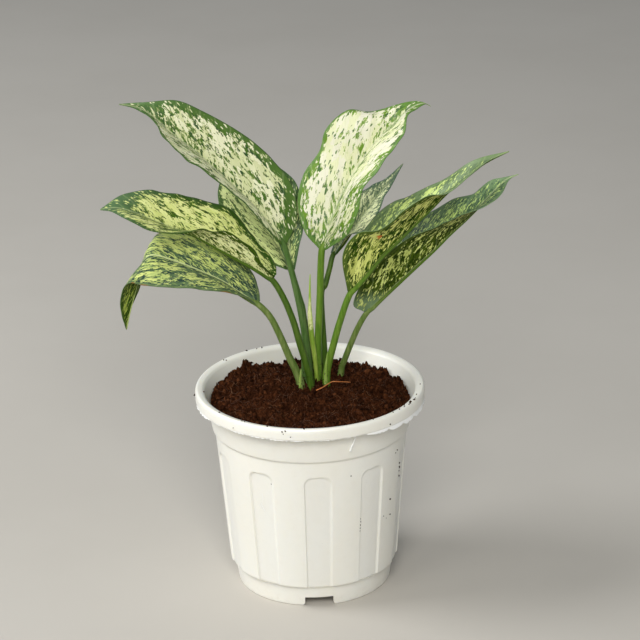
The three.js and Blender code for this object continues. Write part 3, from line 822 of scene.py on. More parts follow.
# Loose crumbs and fibres: how many, and how far from the axis they reach
CRUMB_COUNT = 2600
CRUMB_REACH = 65.0
FIBRE_COUNT = 420
FIBRE_REACH = 62.0
FIBRE_END = 64.0
FIBRE_STEPS = 7
# Crumbs are larger beyond this radius
BY_THE_WALL = 54.0


def scattered(draw, reach):
    """A random place on the heap."""
    r = reach * math.sqrt(draw.random())
    turn = draw.uniform(0, 2 * math.pi)
    return r * math.cos(turn), r * math.sin(turn)


def make_crumbs(dark, brown, seed=11):
    """Loose crumbs and clods over the heap, larger by the wall."""
    draw = random.Random(seed)
    forms = lump_forms(8, 2.0)
    parts, shades = [], []
    for _ in range(CRUMB_COUNT):
        x, y = scattered(draw, CRUMB_REACH)
        size = 0.35 + 1.7 * draw.random() ** 3.5
        if math.hypot(x, y) > BY_THE_WALL:
            size *= 1.35
        points, faces = draw.choice(forms)
        stretch = np.array([1, draw.uniform(0.6, 1.0), draw.uniform(0.55, 0.9)])
        points = turned(points * stretch, draw) * size
        parts.append((points + [x, y, soil_top(x, y) + 0.25 * size], faces))
        shades.extend([0 if draw.random() < 0.6 else 1] * len(faces))
    points, faces = join_parts(parts)
    make_piece("soil_crumbs", points, faces, [dark, brown], ["soil"], face_materials=shades)


def make_fibres(brown, pale, seed=23):
    """Short coir fibres lying over the heap."""
    draw = random.Random(seed)
    parts, shades = [], []
    for _ in range(FIBRE_COUNT):
        x, y = scattered(draw, FIBRE_REACH)
        heading = draw.uniform(0, 2 * math.pi)
        bend = draw.uniform(-0.12, 0.12)
        stride = draw.uniform(4, 15) / FIBRE_STEPS
        lift = draw.uniform(0.1, 0.9)
        path = []
        for k in range(FIBRE_STEPS):
            if math.hypot(x, y) > FIBRE_END:
                break
            path.append((x, y, soil_top(x, y) + 0.2 + lift * math.sin(math.pi * k / (FIBRE_STEPS - 1))))
            x += stride * math.cos(heading)
            y += stride * math.sin(heading)
            heading += bend + draw.uniform(-0.15, 0.15)
        if len(path) < 4:
            continue
        radius = draw.uniform(0.06, 0.13)
        points, faces = tube(path, [radius * (1 - 0.5 * k / FIBRE_STEPS) for k in range(len(path))], 4)
        parts.append((points, faces))
        shades.extend([1 if draw.random() < 0.12 else 0] * len(faces))
    points, faces = join_parts(parts)
    make_piece("soil_fibres", points, faces, [brown, pale], ["soil"], face_materials=shades)


LONG_FIBRE = [
    (4, -2.5, 134.0), (8, -1.5, 135.4), (12, 2.2, 136.4), (15, 4.8, 136.9),
    (19, 4.6, 136.8), (23, 5.6, 136.2), (26, 5.4, 136.0), (27, 6.6, 135.4),
]


def make_long_fibre(orange, rows=32):
    """The one long orange fibre that lies across the middle of the heap."""
    path = curve_at(LONG_FIBRE, np.linspace(0, 1, rows))
    points, faces = tube(path, [0.34 - 0.16 * k / (rows - 1) for k in range(rows)], 7)
    make_piece("coir_fibre", points, faces, [orange], ["soil"])


# ---------------------------------------------------------------- leaves

# A blade's grid, its end short of the last point, its camber, waves and ruffles, and how thick it is
BLADE_ROWS = 120
BLADE_HALF_COLUMNS = 28
BLADE_END = 0.994
BLADE_CAMBER = 0.06
BLADE_WAVE = 0.8
BLADE_RUFFLE = 0.7
BLADE_THICK = 0.6
EDGE_THICK = 0.4
# The side veins: how far forward they run for each millimetre outward, how they bend, how far apart they are
VEIN_SWEEP = 1.7
VEIN_BEND = 0.01
VEIN_SPACING = 12.0

# Each leaf: radii of its stalk at foot and collar, then the curves of stalk, midrib and both edges.
# waves: how many run along the blade, and where they start. cream, margin: the share of cream and the width
# of the green margin at the blade's base, middle and tip, on its left and right side. dry: side, start and
# end of a dried stretch of edge, along the blade. spots: side, place along, place across and radius.
LEAVES = [
    {
        "name": "leaf_upper_left",
        "skin": "grey",
        "radii": (2.5, 1.9),
        "stalk": [(0, 12, 108), (0, 12, 134), (-2, 12, 163), (-7, 14, 196)],
        "midrib": [(-15, 18, 230), (-23, 17, 243), (-34, 15, 258), (-46, 13, 272), (-58, 11, 285),
                   (-70, 8, 298), (-83, 5, 310), (-95, 2, 323), (-105, 1, 330), (-117, 0, 333)],
        "right": [(-13, 19, 229), (-6, 27, 243), (-8, 27, 266), (-20, 26, 285), (-34, 23, 300),
                  (-49, 19, 312), (-64, 13, 323), (-80, 8, 332), (-98, 3, 333), (-117, 0, 333)],
        "left": [(-17, 16, 230), (-28, -3, 252), (-39, -12, 270), (-50, -15, 279), (-64, -18, 295),
                 (-78, -18, 305), (-89, -15, 315), (-95, -6, 324), (-105, -2, 330), (-117, 0, 333)],
        "waves": (3.1, 0.2),
        "cream": ((0.62, 0.66), (0.66, 0.61), (0.56, 0.42)),
        "margin": ((2.2, 12.0), (1.8, 6.5), (3.0, 4.5)),
        "look": "cream_patched",
    },
    {
        "name": "leaf_middle_left",
        "skin": "dark",
        "radii": (2.7, 2.0),
        "stalk": [(1, 3, 108), (1, 3, 134), (-2, 3, 151), (-6, 3, 166), (-10, 3, 182), (-16, 4, 198)],
        "midrib": [(-23, 5, 210), (-33, 3, 219), (-45, 1, 227), (-58, -2, 236), (-71, -5, 245),
                   (-83, -8, 251), (-96, -11, 258), (-109, -14, 265), (-120, -16, 269), (-131, -18, 269)],
        "right": [(-20, 8, 213), (-21, 15, 217), (-31, 21, 230), (-40, 23, 241), (-53, 22, 255),
                  (-68, 18, 263), (-82, 13, 267), (-99, 7, 273), (-116, -4, 274), (-131, -18, 269)],
        "left": [(-21, 3, 213), (-28, -3, 223), (-34, -7, 235), (-46, -11, 247), (-63, -18, 253),
                 (-79, -26, 254), (-94, -32, 257), (-109, -30, 264), (-121, -24, 269), (-131, -18, 269)],
        "waves": (3.6, 0.5),
        "ruffle": 1.5,
        "cream": ((0.8, 0.74), (0.46, 0.64), (0.3, 0.32)),
        "margin": ((3.6, 7.0), (3.0, 6.0), (2.0, 5.0)),
        "look": "yellow_patched",
    },
    {
        "name": "leaf_lower_left",
        "skin": "dull",
        "radii": (2.7, 2.0),
        "stalk": [(-6, 3, 108), (-6, 3, 134), (-9, 3, 146), (-13, 2, 156), (-19, 0, 173), (-25, -2, 187)],
        "midrib": [(-33, -4, 197), (-44, -6, 206), (-55, -8, 215), (-69, -10, 223), (-85, -12, 231),
                   (-100, -14, 236), (-107, -15, 228), (-110, -16, 215), (-114, -17, 202),
                   (-118, -18, 186)],
        "right": [(-31, -2, 198), (-32, 8, 204), (-37, 15, 213), (-51, 18, 227), (-72, 16, 239),
                  (-95, 8, 243), (-103, 0, 230), (-107, -8, 216), (-114, -13, 202), (-118, -18, 186)],
        "left": [(-34, -6, 197), (-42, -14, 206), (-53, -23, 213), (-69, -30, 218), (-86, -34, 220),
                 (-103, -36, 224), (-114, -35, 225), (-119, -29, 213), (-120, -23, 199), (-118, -18, 186)],
        "waves": (2.6, 0.1),
        "cream": ((0.3, 0.22), (0.44, 0.56), (0.34, 0.36)),
        "margin": ((4.0, 4.5), (2.0, 2.6), (2.0, 2.0)),
        "look": "green_flecked",
        "sheath": [(-6.5, 1.6, 131), (-6.2, 0.4, 141), (-5.6, -0.6, 149)],
        "dry": [(0, 0.17, 0.25), (0, 0.53, 0.6), (0, 0.62, 0.65), (1, 0.5, 0.6)],
    },
    {
        "name": "leaf_behind_left",
        "skin": "grey",
        "radii": (2.4, 1.8),
        "stalk": [(1, 27, 108), (1, 27, 134), (-3, 30, 173), (-7, 32, 189)],
        "midrib": [(-11, 34, 206), (-16, 40, 214), (-23, 48, 224), (-31, 57, 233), (-37, 67, 242),
                   (-42, 78, 251), (-46, 88, 259), (-49, 98, 269)],
        "right": [(-10, 36, 205), (-9, 56, 220), (-12, 66, 237), (-17, 76, 249), (-23, 86, 258),
                  (-31, 94, 262), (-39, 98, 266), (-49, 98, 269)],
        "left": [(-14, 32, 207), (-27, 32, 213), (-42, 38, 221), (-54, 48, 232), (-58, 60, 244),
                 (-58, 72, 252), (-54, 84, 260), (-49, 98, 269)],
        "waves": (2.8, 0.7),
        "cream": ((0.6, 0.6), (0.66, 0.66), (0.6, 0.6)),
        "margin": ((3.0, 3.0), (2.6, 2.6), (3.0, 3.0)),
        "look": "soft_yellow",
    },
    {
        "name": "leaf_behind_middle",
        "skin": "grey",
        "radii": (2.4, 1.8),
        "stalk": [(-3, 19, 108), (-3, 19, 134), (-3, 22, 176), (-6, 24, 192)],
        "midrib": [(-10, 27, 208), (-11, 31, 221), (-12, 36, 234), (-13, 42, 247), (-16, 48, 258),
                   (-20, 55, 267), (-23, 61, 273)],
        "right": [(-8, 26, 209), (-5, 28, 223), (-2, 35, 233), (-2, 42, 246), (-5, 48, 260), (-12, 55, 267),
                  (-23, 61, 273)],
        "left": [(-12, 28, 209), (-19, 36, 226), (-25, 44, 242), (-29, 52, 255), (-29, 59, 265),
                 (-25, 61, 272), (-23, 61, 273)],
        "waves": (2.4, 0.3),
        "cream": ((0.5, 0.5), (0.5, 0.4), (0.15, 0.2)),
        "margin": ((2.0, 2.0), (2.5, 2.0), (3.0, 3.0)),
        "look": "blue_green",
    },
    {
        "name": "leaf_centre",
        "skin": "green",
        "radii": (2.8, 2.2),
        "stalk": [(6, 19, 108), (6, 19, 134), (6, 20, 154), (8, 20, 189)],
        "midrib": [(10, 20, 224), (14, 23, 235), (19, 28, 248), (26, 33, 262), (35, 38, 275), (45, 42, 288),
                   (55, 45, 298), (64, 47, 306), (72, 48, 312), (79, 49, 314), (84, 49, 312)],
        "right": [(13, 18, 225), (27, 10, 238), (33, 9, 252), (37, 12, 268), (48, 16, 280), (56, 21, 291),
                  (65, 27, 301), (68, 36, 310), (74, 43, 312), (80, 48, 314), (84, 49, 312)],
        "left": [(8, 21, 225), (-1, 27, 235), (-5, 34, 252), (-1, 39, 270), (10, 43, 285), (15, 47, 299),
                 (29, 51, 310), (44, 54, 308), (61, 53, 312), (75, 51, 315), (84, 49, 312)],
        "waves": (3.2, 0.6),
        "cream": ((0.46, 0.5), (0.84, 0.7), (0.28, 0.22)),
        "margin": ((5.0, 4.5), (2.4, 2.4), (8.0, 3.0)),
        "look": "cream_white",
    },
    {
        "name": "leaf_behind_right",
        "skin": "dark",
        "radii": (2.2, 1.7),
        "stalk": [(11, 26, 108), (11, 26, 134), (9, 28, 187), (12, 31, 196), (15, 34, 206)],
        "midrib": [(18, 38, 215), (25, 45, 221), (33, 54, 229), (41, 63, 237), (50, 71, 246), (58, 79, 253),
                   (67, 88, 261)],
        "right": [(19, 36, 216), (27, 36, 227), (39, 40, 231), (48, 50, 238), (53, 62, 246), (60, 74, 253),
                  (67, 88, 261)],
        "left": [(16, 40, 215), (21, 52, 225), (26, 64, 237), (34, 72, 244), (44, 78, 248), (54, 83, 252),
                 (67, 88, 261)],
        "waves": (2.7, 0.4),
        "cream": ((0.55, 0.55), (0.57, 0.57), (0.4, 0.3)),
        "margin": ((2.0, 1.5), (3.5, 1.5), (3.0, 2.0)),
        "look": "grey_mottled",
    },
    {
        "name": "leaf_right_upper",
        "skin": "green",
        "radii": (2.8, 2.2),
        "stalk": [(11, 10, 108), (11, 10, 134), (12, 10, 145), (16, 9, 161), (21, 8, 179)],
        "midrib": [(28, 6, 199), (38, 5, 212), (48, 5, 224), (59, 4, 235), (70, 4, 246), (81, 3, 257),
                   (92, 3, 268), (104, 2, 278), (116, 2, 287), (132, 2, 295)],
        "right": [(26, 4, 201), (23, -5, 229), (32, -7, 244), (48, -10, 249), (62, -13, 261),
                  (76, -15, 271), (90, -14, 273), (104, -10, 282), (116, -5, 290), (132, 2, 295)],
        "left": [(26, 9, 200), (27, 20, 220), (36, 26, 233), (46, 27, 245), (57, 25, 255), (70, 21, 261),
                 (84, 16, 269), (98, 11, 280), (112, 6, 289), (132, 2, 295)],
        "waves": (3.4, 0.1),
        "cream": ((0.4, 0.5), (0.4, 0.42), (0.34, 0.34)),
        "margin": ((4.5, 8.0), (4.5, 4.0), (4.0, 3.0)),
        "look": "yellow_flecked",
        "spots": [(1, 0.295, 0.58, 2.2), (1, 0.285, 0.5, 1.2)],
        "sheath": [(10.6, 8.4, 131), (11, 6.9, 146), (12.2, 5.6, 158)],
    },
    {
        "name": "leaf_right_lower",
        "skin": "dull",
        "radii": (2.4, 1.9),
        "stalk": [(21, 28, 108), (21, 28, 134), (24, 26, 145), (30, 24, 161), (35, 23, 172)],
        "midrib": [(40, 22, 180), (48, 21, 189), (60, 19, 201), (72, 17, 213), (83, 15, 224), (94, 13, 236),
                   (104, 11, 246), (114, 9, 257), (123, 8, 267), (130, 7, 274), (138, 6, 278)],
        "right": [(37, 20, 180), (30, 15, 188), (39, 13, 209), (53, 11, 224), (68, 5, 237), (84, -1, 247),
                  (98, -5, 254), (116, -8, 261), (126, -3, 268), (131, 5, 274), (138, 6, 278)],
        "left": [(37, 24, 180), (34, 36, 188), (45, 40, 208), (58, 41, 222), (72, 39, 235), (87, 35, 246),
                 (98, 29, 255), (110, 21, 261), (120, 14, 271), (129, 9, 275), (138, 6, 278)],
        "waves": (3.0, 0.8),
        "cream": ((0.3, 0.32), (0.34, 0.3), (0.26, 0.28)),
        "margin": ((4.0, 4.0), (3.0, 3.0), (3.0, 3.0)),
        "look": "deep_green",
    },
]

# What a blade shows unless its look says otherwise: how strong its midrib is and how wide half of it, how
# much the mosaic clumps, its share of green specks, how strong its edge's dark line is, its dried colour
PLAIN_LOOK = {
    "rib_share": 0.6, "rib_half": 0.7, "clumping": 0.4, "specks": 0.2, "line": 0.1,
    "dried": (0.24, 0.13, 0.03),
}

# Colours of the leaves, as linear values, and the width and length of the mosaic's patches
LOOKS = {
    "cream_patched": {
        "green": (0.085, 0.175, 0.026), "dark": (0.036, 0.09, 0.026), "edge": (0.095, 0.185, 0.034),
        "tip": (0.1, 0.2, 0.06), "cream": (0.88, 0.88, 0.61), "yellow": (0.56, 0.62, 0.24),
        "rib": (0.5, 0.55, 0.32), "rib_half": 0.9, "patch": (2.5, 5.0),
        "clumping": 0.36, "specks": 0.32, "line": 0.5,
    },
    "yellow_patched": {
        "green": (0.065, 0.14, 0.014), "dark": (0.025, 0.065, 0.005), "edge": (0.04, 0.1, 0.01),
        "tip": (0.115, 0.2, 0.095), "cream": (0.78, 0.82, 0.34), "yellow": (0.56, 0.64, 0.17),
        "rib": (0.46, 0.54, 0.27), "rib_share": 0.45, "rib_half": 0.8, "patch": (2.1, 4.2), "line": 0.2,
    },
    # The lower left leaf's green, dark and edge colours are bluish grey: its own green with a painted
    # reflection of the sky on its gloss.
    "green_flecked": {
        "green": (0.105, 0.17, 0.08), "dark": (0.03, 0.062, 0.046), "edge": (0.13, 0.2, 0.075),
        "cream": (0.64, 0.71, 0.23), "yellow": (0.34, 0.46, 0.14), "rib": (0.66, 0.74, 0.36),
        "rib_share": 0.9, "patch": (1.9, 3.4), "clumping": 0.42,
    },
    "soft_yellow": {
        "green": (0.1, 0.18, 0.05), "dark": (0.03, 0.08, 0.012), "edge": (0.1, 0.18, 0.05),
        "cream": (0.84, 0.92, 0.4), "yellow": (0.58, 0.68, 0.27), "rib": (0.38, 0.44, 0.2),
        "patch": (1.9, 3.6), "clumping": 0.45,
    },
    "blue_green": {
        "green": (0.09, 0.16, 0.055), "dark": (0.035, 0.07, 0.02), "edge": (0.06, 0.12, 0.04),
        "cream": (0.56, 0.63, 0.26), "yellow": (0.34, 0.42, 0.13), "rib": (0.35, 0.42, 0.2),
        "patch": (1.8, 3.4),
    },
    "cream_white": {
        "green": (0.13, 0.25, 0.02), "dark": (0.06, 0.135, 0.03), "edge": (0.12, 0.235, 0.045),
        "cream": (0.73, 0.715, 0.55), "yellow": (0.64, 0.69, 0.31), "rib": (0.6, 0.62, 0.42),
        "rib_share": 0.5, "rib_half": 0.8, "patch": (2.8, 6.0), "clumping": 0.3, "specks": 0.4,
    },
    "grey_mottled": {
        "green": (0.18, 0.25, 0.13), "dark": (0.085, 0.135, 0.08), "edge": (0.09, 0.155, 0.09),
        "cream": (0.84, 0.88, 0.52), "yellow": (0.62, 0.68, 0.34), "rib": (0.3, 0.36, 0.18),
        "rib_half": 0.6, "patch": (1.4, 3.4), "clumping": 0.35,
    },
    "yellow_flecked": {
        "green": (0.16, 0.235, 0.1), "dark": (0.1, 0.16, 0.065), "edge": (0.17, 0.25, 0.11),
        "cream": (0.58, 0.7, 0.22), "yellow": (0.42, 0.54, 0.17), "rib": (0.36, 0.44, 0.18),
        "patch": (2.2, 5.0),
    },
    "deep_green": {
        "green": (0.16, 0.265, 0.12), "dark": (0.075, 0.14, 0.07), "edge": (0.17, 0.275, 0.12),
        "cream": (0.66, 0.84, 0.26), "yellow": (0.42, 0.58, 0.2), "rib": (0.4, 0.48, 0.26),
        "rib_share": 0.7, "patch": (1.9, 4.6), "clumping": 0.35,
    },
}

# Undersides that show in the photo's view, and what turns the other looks into those of their undersides
UNDER_LOOKS = {
    "yellow_patched": {
        "green": (0.07, 0.13, 0.01), "dark": (0.03, 0.065, 0.004), "edge": (0.05, 0.1, 0.008),
        "cream": (0.9, 0.92, 0.5), "yellow": (0.7, 0.74, 0.28),
    },
    "green_flecked": {
        "green": (0.05, 0.1, 0.008), "dark": (0.022, 0.055, 0.003), "edge": (0.06, 0.12, 0.012),
        "cream": (0.45, 0.55, 0.1), "yellow": (0.25, 0.33, 0.05),
    },
    "yellow_flecked": {
        "green": (0.046, 0.098, 0.003), "dark": (0.014, 0.042, 0.001), "edge": (0.12, 0.19, 0.03),
        "cream": (0.73, 0.77, 0.24), "yellow": (0.42, 0.48, 0.09), "dried": (0.62, 0.2, 0.05),
    },
    # The lower right leaf's lobe colour is a painted bluish grey sheen over the base of its underside.
    "deep_green": {
        "green": (0.05, 0.085, 0.004), "dark": (0.018, 0.038, 0.001), "edge": (0.06, 0.095, 0.012),
        "cream": (0.64, 0.72, 0.23), "yellow": (0.34, 0.4, 0.08), "lobe_sheen": (0.16, 0.24, 0.12),
    },
}
UNDER_SHADES = {
    "green": (0.6, 0.6, 0.2), "dark": (0.6, 0.6, 0.15), "edge": (0.9, 0.9, 0.4),
    "cream": (1.0, 0.95, 0.75), "yellow": (0.9, 0.85, 0.5), "rib": (0.9, 0.95, 0.7),
}


def under_look(look, own):
    """The underside of a blade shows the same marks, darker and more olive, or in colours of its own."""
    shaded = {part: tuple(a * b for a, b in zip(look[part], shade)) for part, shade in UNDER_SHADES.items()}
    return {**look, **shaded, **own}


def noise_row(places, seed):
    return np.array([noise.noise(Vector((place, seed, 0.5))) for place in places]) * 2


def dried_share(leaf, side, s, run, across, width):
    """How dried one column of the blade is at each row."""
    dry = np.zeros(len(s))
    for dry_side, low, high in leaf.get("dry", []):
        if dry_side == side:
            middle, span = (low + high) / 2, (high - low) / 2
            dry = np.maximum(dry, np.exp(-(((s - middle) / span) ** 2)) * np.exp(-((width - across) / 1.2)))
    for spot_side, spot_s, spot_share, radius in leaf.get("spots", []):
        if spot_side == side:
            gap = np.hypot(run - np.interp(spot_s, s, run), across - spot_share * width)
            dry = np.maximum(dry, np.exp(-((gap / radius) ** 2)))
    return dry


def blade_surface(leaf, rows, half):
    """Upper face of a blade, with the fields that its material reads."""
    line = np.array(leaf["stalk"] + leaf["midrib"], float)
    collar = len(leaf["stalk"]) / (len(line) - 1)
    s = np.linspace(0, BLADE_END, rows + 1)
    t = collar + (1 - collar) * s
    middle, along = curve_at(line, t), direction_at(line, t)
    run = np.concatenate([[0], np.cumsum(np.linalg.norm(np.diff(middle, axis=0), axis=1))])
    tip_distance = (run[-1] - run) * 0.35
    surface, flow, zone, tint = (np.zeros((rows + 1, 2 * half + 1, 3)) for _ in range(4))
    seed = 10.0 * LEAVES.index(leaf)
    shares, margins = np.array(leaf["cream"]), np.array(leaf["margin"])
    waves, first_wave = leaf["waves"]
    belly = np.sin(math.pi * s)
    for side, label in enumerate(("left", "right")):
        outward = 1 if side else -1
        reach = curve_at(leaf[label], s) - middle
        width = np.linalg.norm(reach, axis=1)
        up = unit(np.cross(reach, along) * outward)
        swell = BLADE_WAVE * np.sin(2 * math.pi * (waves * s + first_wave + 0.37 * side)) * belly
        ruffles = leaf.get("ruffle", BLADE_RUFFLE) * noise_row(run * 0.1 + 3.0 * side, seed) * belly
        amounts = np.interp(s, [0.0, 0.5, 1.0], shares[:, side])
        margin = np.interp(s, [0.0, 0.5, 1.0], margins[:, side])
        for k in range(half + 1):
            f = k / half
            column = half + outward * k
            across = f * width
            q = run - VEIN_SWEEP * across + VEIN_BEND * across**2
            relief = 0.16 * np.cos(2 * math.pi * q / VEIN_SPACING)
            relief = relief * soft_step(across, 1.5, 6.0) * soft_step(width - across, 0.5, 5.0)
            channel = -0.22 * np.exp(-(across**2)) * (1 - 0.7 * s)
            camber = BLADE_CAMBER * width * math.sin(math.pi * f)
            lift = camber + f * f * swell + relief + channel + f**5 * ruffles
            surface[:, column] = middle + reach * f + up * lift[:, None]
            flow[:, column] = np.stack([q, across * outward, np.full(rows + 1, seed)], axis=1)
            zone[:, column] = np.stack([np.minimum(width - across, tip_distance), across, s], axis=1)
            dried = dried_share(leaf, side, s, run, across, width)
            tint[:, column] = np.stack([amounts, dried, margin], axis=1)
    return surface, flow, zone, tint


def surface_normals(surface):
    across = np.gradient(surface, axis=1)
    along = np.gradient(surface, axis=0)
    return unit(np.cross(across, along))


def make_blade(leaf, upper_face, under_face):
    surface, *fields = blade_surface(leaf, BLADE_ROWS, BLADE_HALF_COLUMNS)
    rows, columns = surface.shape[:2]
    edge_distance = fields[1][..., 0]
    thick = EDGE_THICK + (BLADE_THICK - EDGE_THICK) * soft_step(edge_distance, 0.0, 8.0)
    under = surface - surface_normals(surface) * thick[..., None]
    count = rows * columns
    upper_faces = grid_faces(rows, columns)
    under_faces = grid_faces(rows, columns, start=count, flip=True)
    end = columns - 1
    last = (rows - 1) * columns
    rim = []
    for i in range(rows - 1):
        a, b = i * columns, (i + 1) * columns
        rim.append((a, b, count + b, count + a))
        rim.append((a + end, count + a + end, count + b + end, b + end))
    for j in range(end):
        rim.append((j, count + j, count + j + 1, j + 1))
        rim.append((last + j, last + j + 1, count + last + j + 1, count + last + j))
    labels = ("leaf_flow", "leaf_zone", "leaf_tint")
    make_piece(
        leaf["name"] + "_blade",
        np.vstack([surface.reshape(-1, 3), under.reshape(-1, 3)]),
        upper_faces + under_faces + rim,
        [upper_face, under_face],
        [leaf["name"]],
        face_materials=[0] * len(upper_faces) + [1] * len(under_faces) + [0] * len(rim),
        fields={label: np.vstack([field.reshape(-1, 3)] * 2) for label, field in zip(labels, fields)},
    )


STALK_ROWS = 36
STALK_SIDES = 18
RIB_ROWS = 26
RIB_END = 0.86
RIB_TIP_RADIUS = 0.35


def from_first_side(angles):
    """How far round a tube each angle lies from its first side, either way."""
    return np.minimum(angles, 2 * math.pi - angles)


def make_stalk(leaf, skin):
    """The stalk, grooved on its upper side, and the rib that it becomes under the blade."""
    line = np.array(leaf["stalk"] + leaf["midrib"], float)
    collar = len(leaf["stalk"]) / (len(line) - 1)
    foot_radius, collar_radius = leaf["radii"]
    on_midrib = surface_normals(blade_surface(leaf, BLADE_ROWS, 4)[0])[:, 4]
    s = np.linspace(0, RIB_END, RIB_ROWS + 1)[1:]
    downs = -on_midrib[np.round(s / BLADE_END * BLADE_ROWS).astype(int)]
    rib_radius = collar_radius + (RIB_TIP_RADIUS - collar_radius) * (s / RIB_END) ** 0.4
    sink = 0.75 + 0.35 * soft_step(s, 0.0, 0.12)
    rib = curve_at(line, collar + (1 - collar) * s) + downs * (sink * rib_radius)[:, None]
    grow = np.linspace(0, 1, STALK_ROWS + 1)
    stalk = curve_at(line, collar * grow)
    stalk_radius = foot_radius + (collar_radius - foot_radius) * grow

    def groove(angles, k):
        off = from_first_side(angles)
        lower = 1 - soft_step(k / STALK_ROWS, 0.2, 0.75)
        wings = 0.16 * lower * np.exp(-(((off - 0.85) / 0.28) ** 2))
        return 1 + wings - (0.1 + 0.1 * lower) * np.exp(-((off / 0.42) ** 2))

    path, radii = np.vstack([stalk, rib]), np.concatenate([stalk_radius, rib_radius])
    points, faces = tube(path, radii, STALK_SIDES, facing=unit(on_midrib[2]), shape=groove)
    olive = np.concatenate([np.zeros(len(stalk)), soft_step(s, 0.0, 0.22)])
    fields = {"stalk_run": np.repeat(np.stack([olive] * 3, axis=1), STALK_SIDES, axis=0)}
    name = leaf["name"]
    make_piece(name + "_stalk", points, faces, [skin], [name], fields=fields, sharp=60)


def make_sheath(leaf, skin, rows=16):
    """The free end of the sheath, a thin curled tongue beside the stalk."""
    grow = np.linspace(0, 1, rows)
    radii = 1.2 * (1 - grow) ** 0.6 + 0.12

    def hollow(angles, k):
        return 1 - 0.45 * np.exp(-((from_first_side(angles) / 0.8) ** 2))

    points, faces = tube(curve_at(leaf["sheath"], grow), radii, 14, facing=(0.2, 0.9, 0.1), shape=hollow)
    make_piece(leaf["name"] + "_sheath", points, faces, [skin], [leaf["name"]], sharp=60)


NEW_LEAF_PATH = [
    (4.6, 13.6, 110), (4.6, 13.6, 134), (3.6, 14, 150), (2, 15, 165), (1.2, 16, 180), (1.4, 16, 189),
    (1.6, 16, 199), (2, 16, 209),
]
NEW_LEAF_RADII = [1.5, 1.5, 1.6, 1.8, 1.7, 1.0, 0.65, 0.3]
NEW_LEAF_ROWS = 60


def make_new_leaf(skin):
    """A leaf still rolled up: its outer edge shows as a step that winds up the spear."""
    grow = np.linspace(0, 1, NEW_LEAF_ROWS)
    radii = np.interp(grow, np.linspace(0, 1, len(NEW_LEAF_RADII)), NEW_LEAF_RADII)

    def roll(angles, k):
        turn = (angles / (2 * math.pi) + 0.9 * k / NEW_LEAF_ROWS + 0.35) % 1
        return 0.86 + 0.2 * turn

    points, faces = tube(curve_at(NEW_LEAF_PATH, grow), radii, 28, shape=roll)
    make_piece("new_leaf_roll", points, faces, [skin], ["new_leaf"], sharp=50)


# ---------------------------------------------------------------- loose things

# Crumbs on the rim: azimuth from the front towards the right, radius and height near the rim's surface, size
RIM_CRUMBS = [
    (-154, 73.4, 139, 0.8), (-151, 73.5, 139, 0.7), (-145, 74.2, 139, 0.9), (-129, 71.8, 139, 0.9),
    (-128, 73.4, 139, 0.6), (-85, 68.5, 138.4, 0.9), (-88, 75.6, 133, 1.3), (-53, 73.5, 138.8, 0.7),
    (-37, 73.2, 139, 0.7), (-35, 73.6, 138.9, 0.6), (-22, 73.9, 138.5, 0.8), (-14, 75.1, 135.6, 0.9),
    (-12.5, 74.9, 136.4, 0.8), (-13.5, 75.2, 134.6, 0.6), (-10, 75.5, 132.7, 0.7), (-5, 71, 139, 1.6),
    (-3.4, 74.4, 138, 0.9), (86, 72.4, 139, 0.8), (65, 74.8, 138.8, 0.9), (62, 73.4, 139, 1.1),
    (60, 74.6, 138.8, 1.0), (57, 72, 139, 0.8), (51, 73.4, 139, 0.8), (46, 73.5, 139, 0.7),
    (42, 75.7, 131.7, 0.9), (33, 73, 139, 0.6), (-41, 75.6, 132.5, 0.6), (72, 72.6, 139, 0.7),
    (67, 74.2, 139, 0.6), (58.5, 75.2, 138.3, 0.8), (55, 73.8, 139, 0.6),
]
# and on the wall: azimuth, height, size
WALL_CRUMBS = [
    (57, 67.8, 0.9), (58.3, 55.8, 0.8), (30.8, 62.9, 0.5), (31, 60.6, 0.6), (30.9, 58.3, 0.6),
    (30.8, 56.1, 0.5), (30.7, 53.9, 0.45), (70.7, 88, 0.7), (70.9, 85, 0.8), (71.2, 81.9, 0.6),
    (71.6, 78, 0.7), (62.5, 101.4, 0.8), (60.6, 100.1, 0.6), (23.5, 96.6, 0.6), (50.9, 57.8, 0.45),
    (53.8, 55.1, 0.4), (-25.7, 91.3, 0.45),
]


def seat_on_rim(radius, height):
    """Radius and height of the place on the rim's profile nearest to a crumb."""
    place = np.array([radius, height])
    rim = np.array(POT_RIM)
    seats = []
    for start, side in zip(rim, np.diff(rim, axis=0)):
        seats.append(start + side * np.clip(np.dot(place - start, side) / np.dot(side, side), 0, 1))
    return min(seats, key=lambda seat: np.linalg.norm(place - seat))


def seat_on_wall(azimuth, height):
    """Radius and height of the body's outside, pressed in where there is a flute."""
    radius = np.interp(height, (BODY_FOOT[1], BODY_HEAD[1]), (BODY_FOOT[0], BODY_HEAD[0]))
    return radius - flute_depth(np.array([azimuth]), height, radius)[0], height


def make_pot_crumbs(dark, seed=5):
    draw = random.Random(seed)
    forms = lump_forms(6, 40.0)
    spots = [(azimuth, *seat_on_rim(radius, height), size) for azimuth, radius, height, size in RIM_CRUMBS]
    for azimuth, height, size in WALL_CRUMBS:
        radius, height = seat_on_wall(azimuth, height)
        spots.append((azimuth, radius + 0.2 * size, height, size))
    parts = []
    for azimuth, radius, height, size in spots:
        points, faces = draw.choice(forms)
        points = turned(points * [1, 0.8, 0.7], draw) * size
        parts.append((points + round_axis(azimuth, radius, height + 0.15 * size), faces))
    points, faces = join_parts(parts)
    make_piece("crumbs_on_pot", points, faces, [dark], ["soil"])


# Mould film: its azimuths, how far it hangs and its own seed; where on the rim it starts, and how thick it is
FILMS = {
    "mould_film_right": (27, 86, 3.0, 3),
    "mould_film_left": (-84, -58, 1.4, 8),
    "mould_film_front": (-57, 26, 0.6, 5),
}
FILM_RADIUS = 75.5
FILM_TOP = 130.7
FILM_EDGE = 130.2
FILM_THICK = 0.25


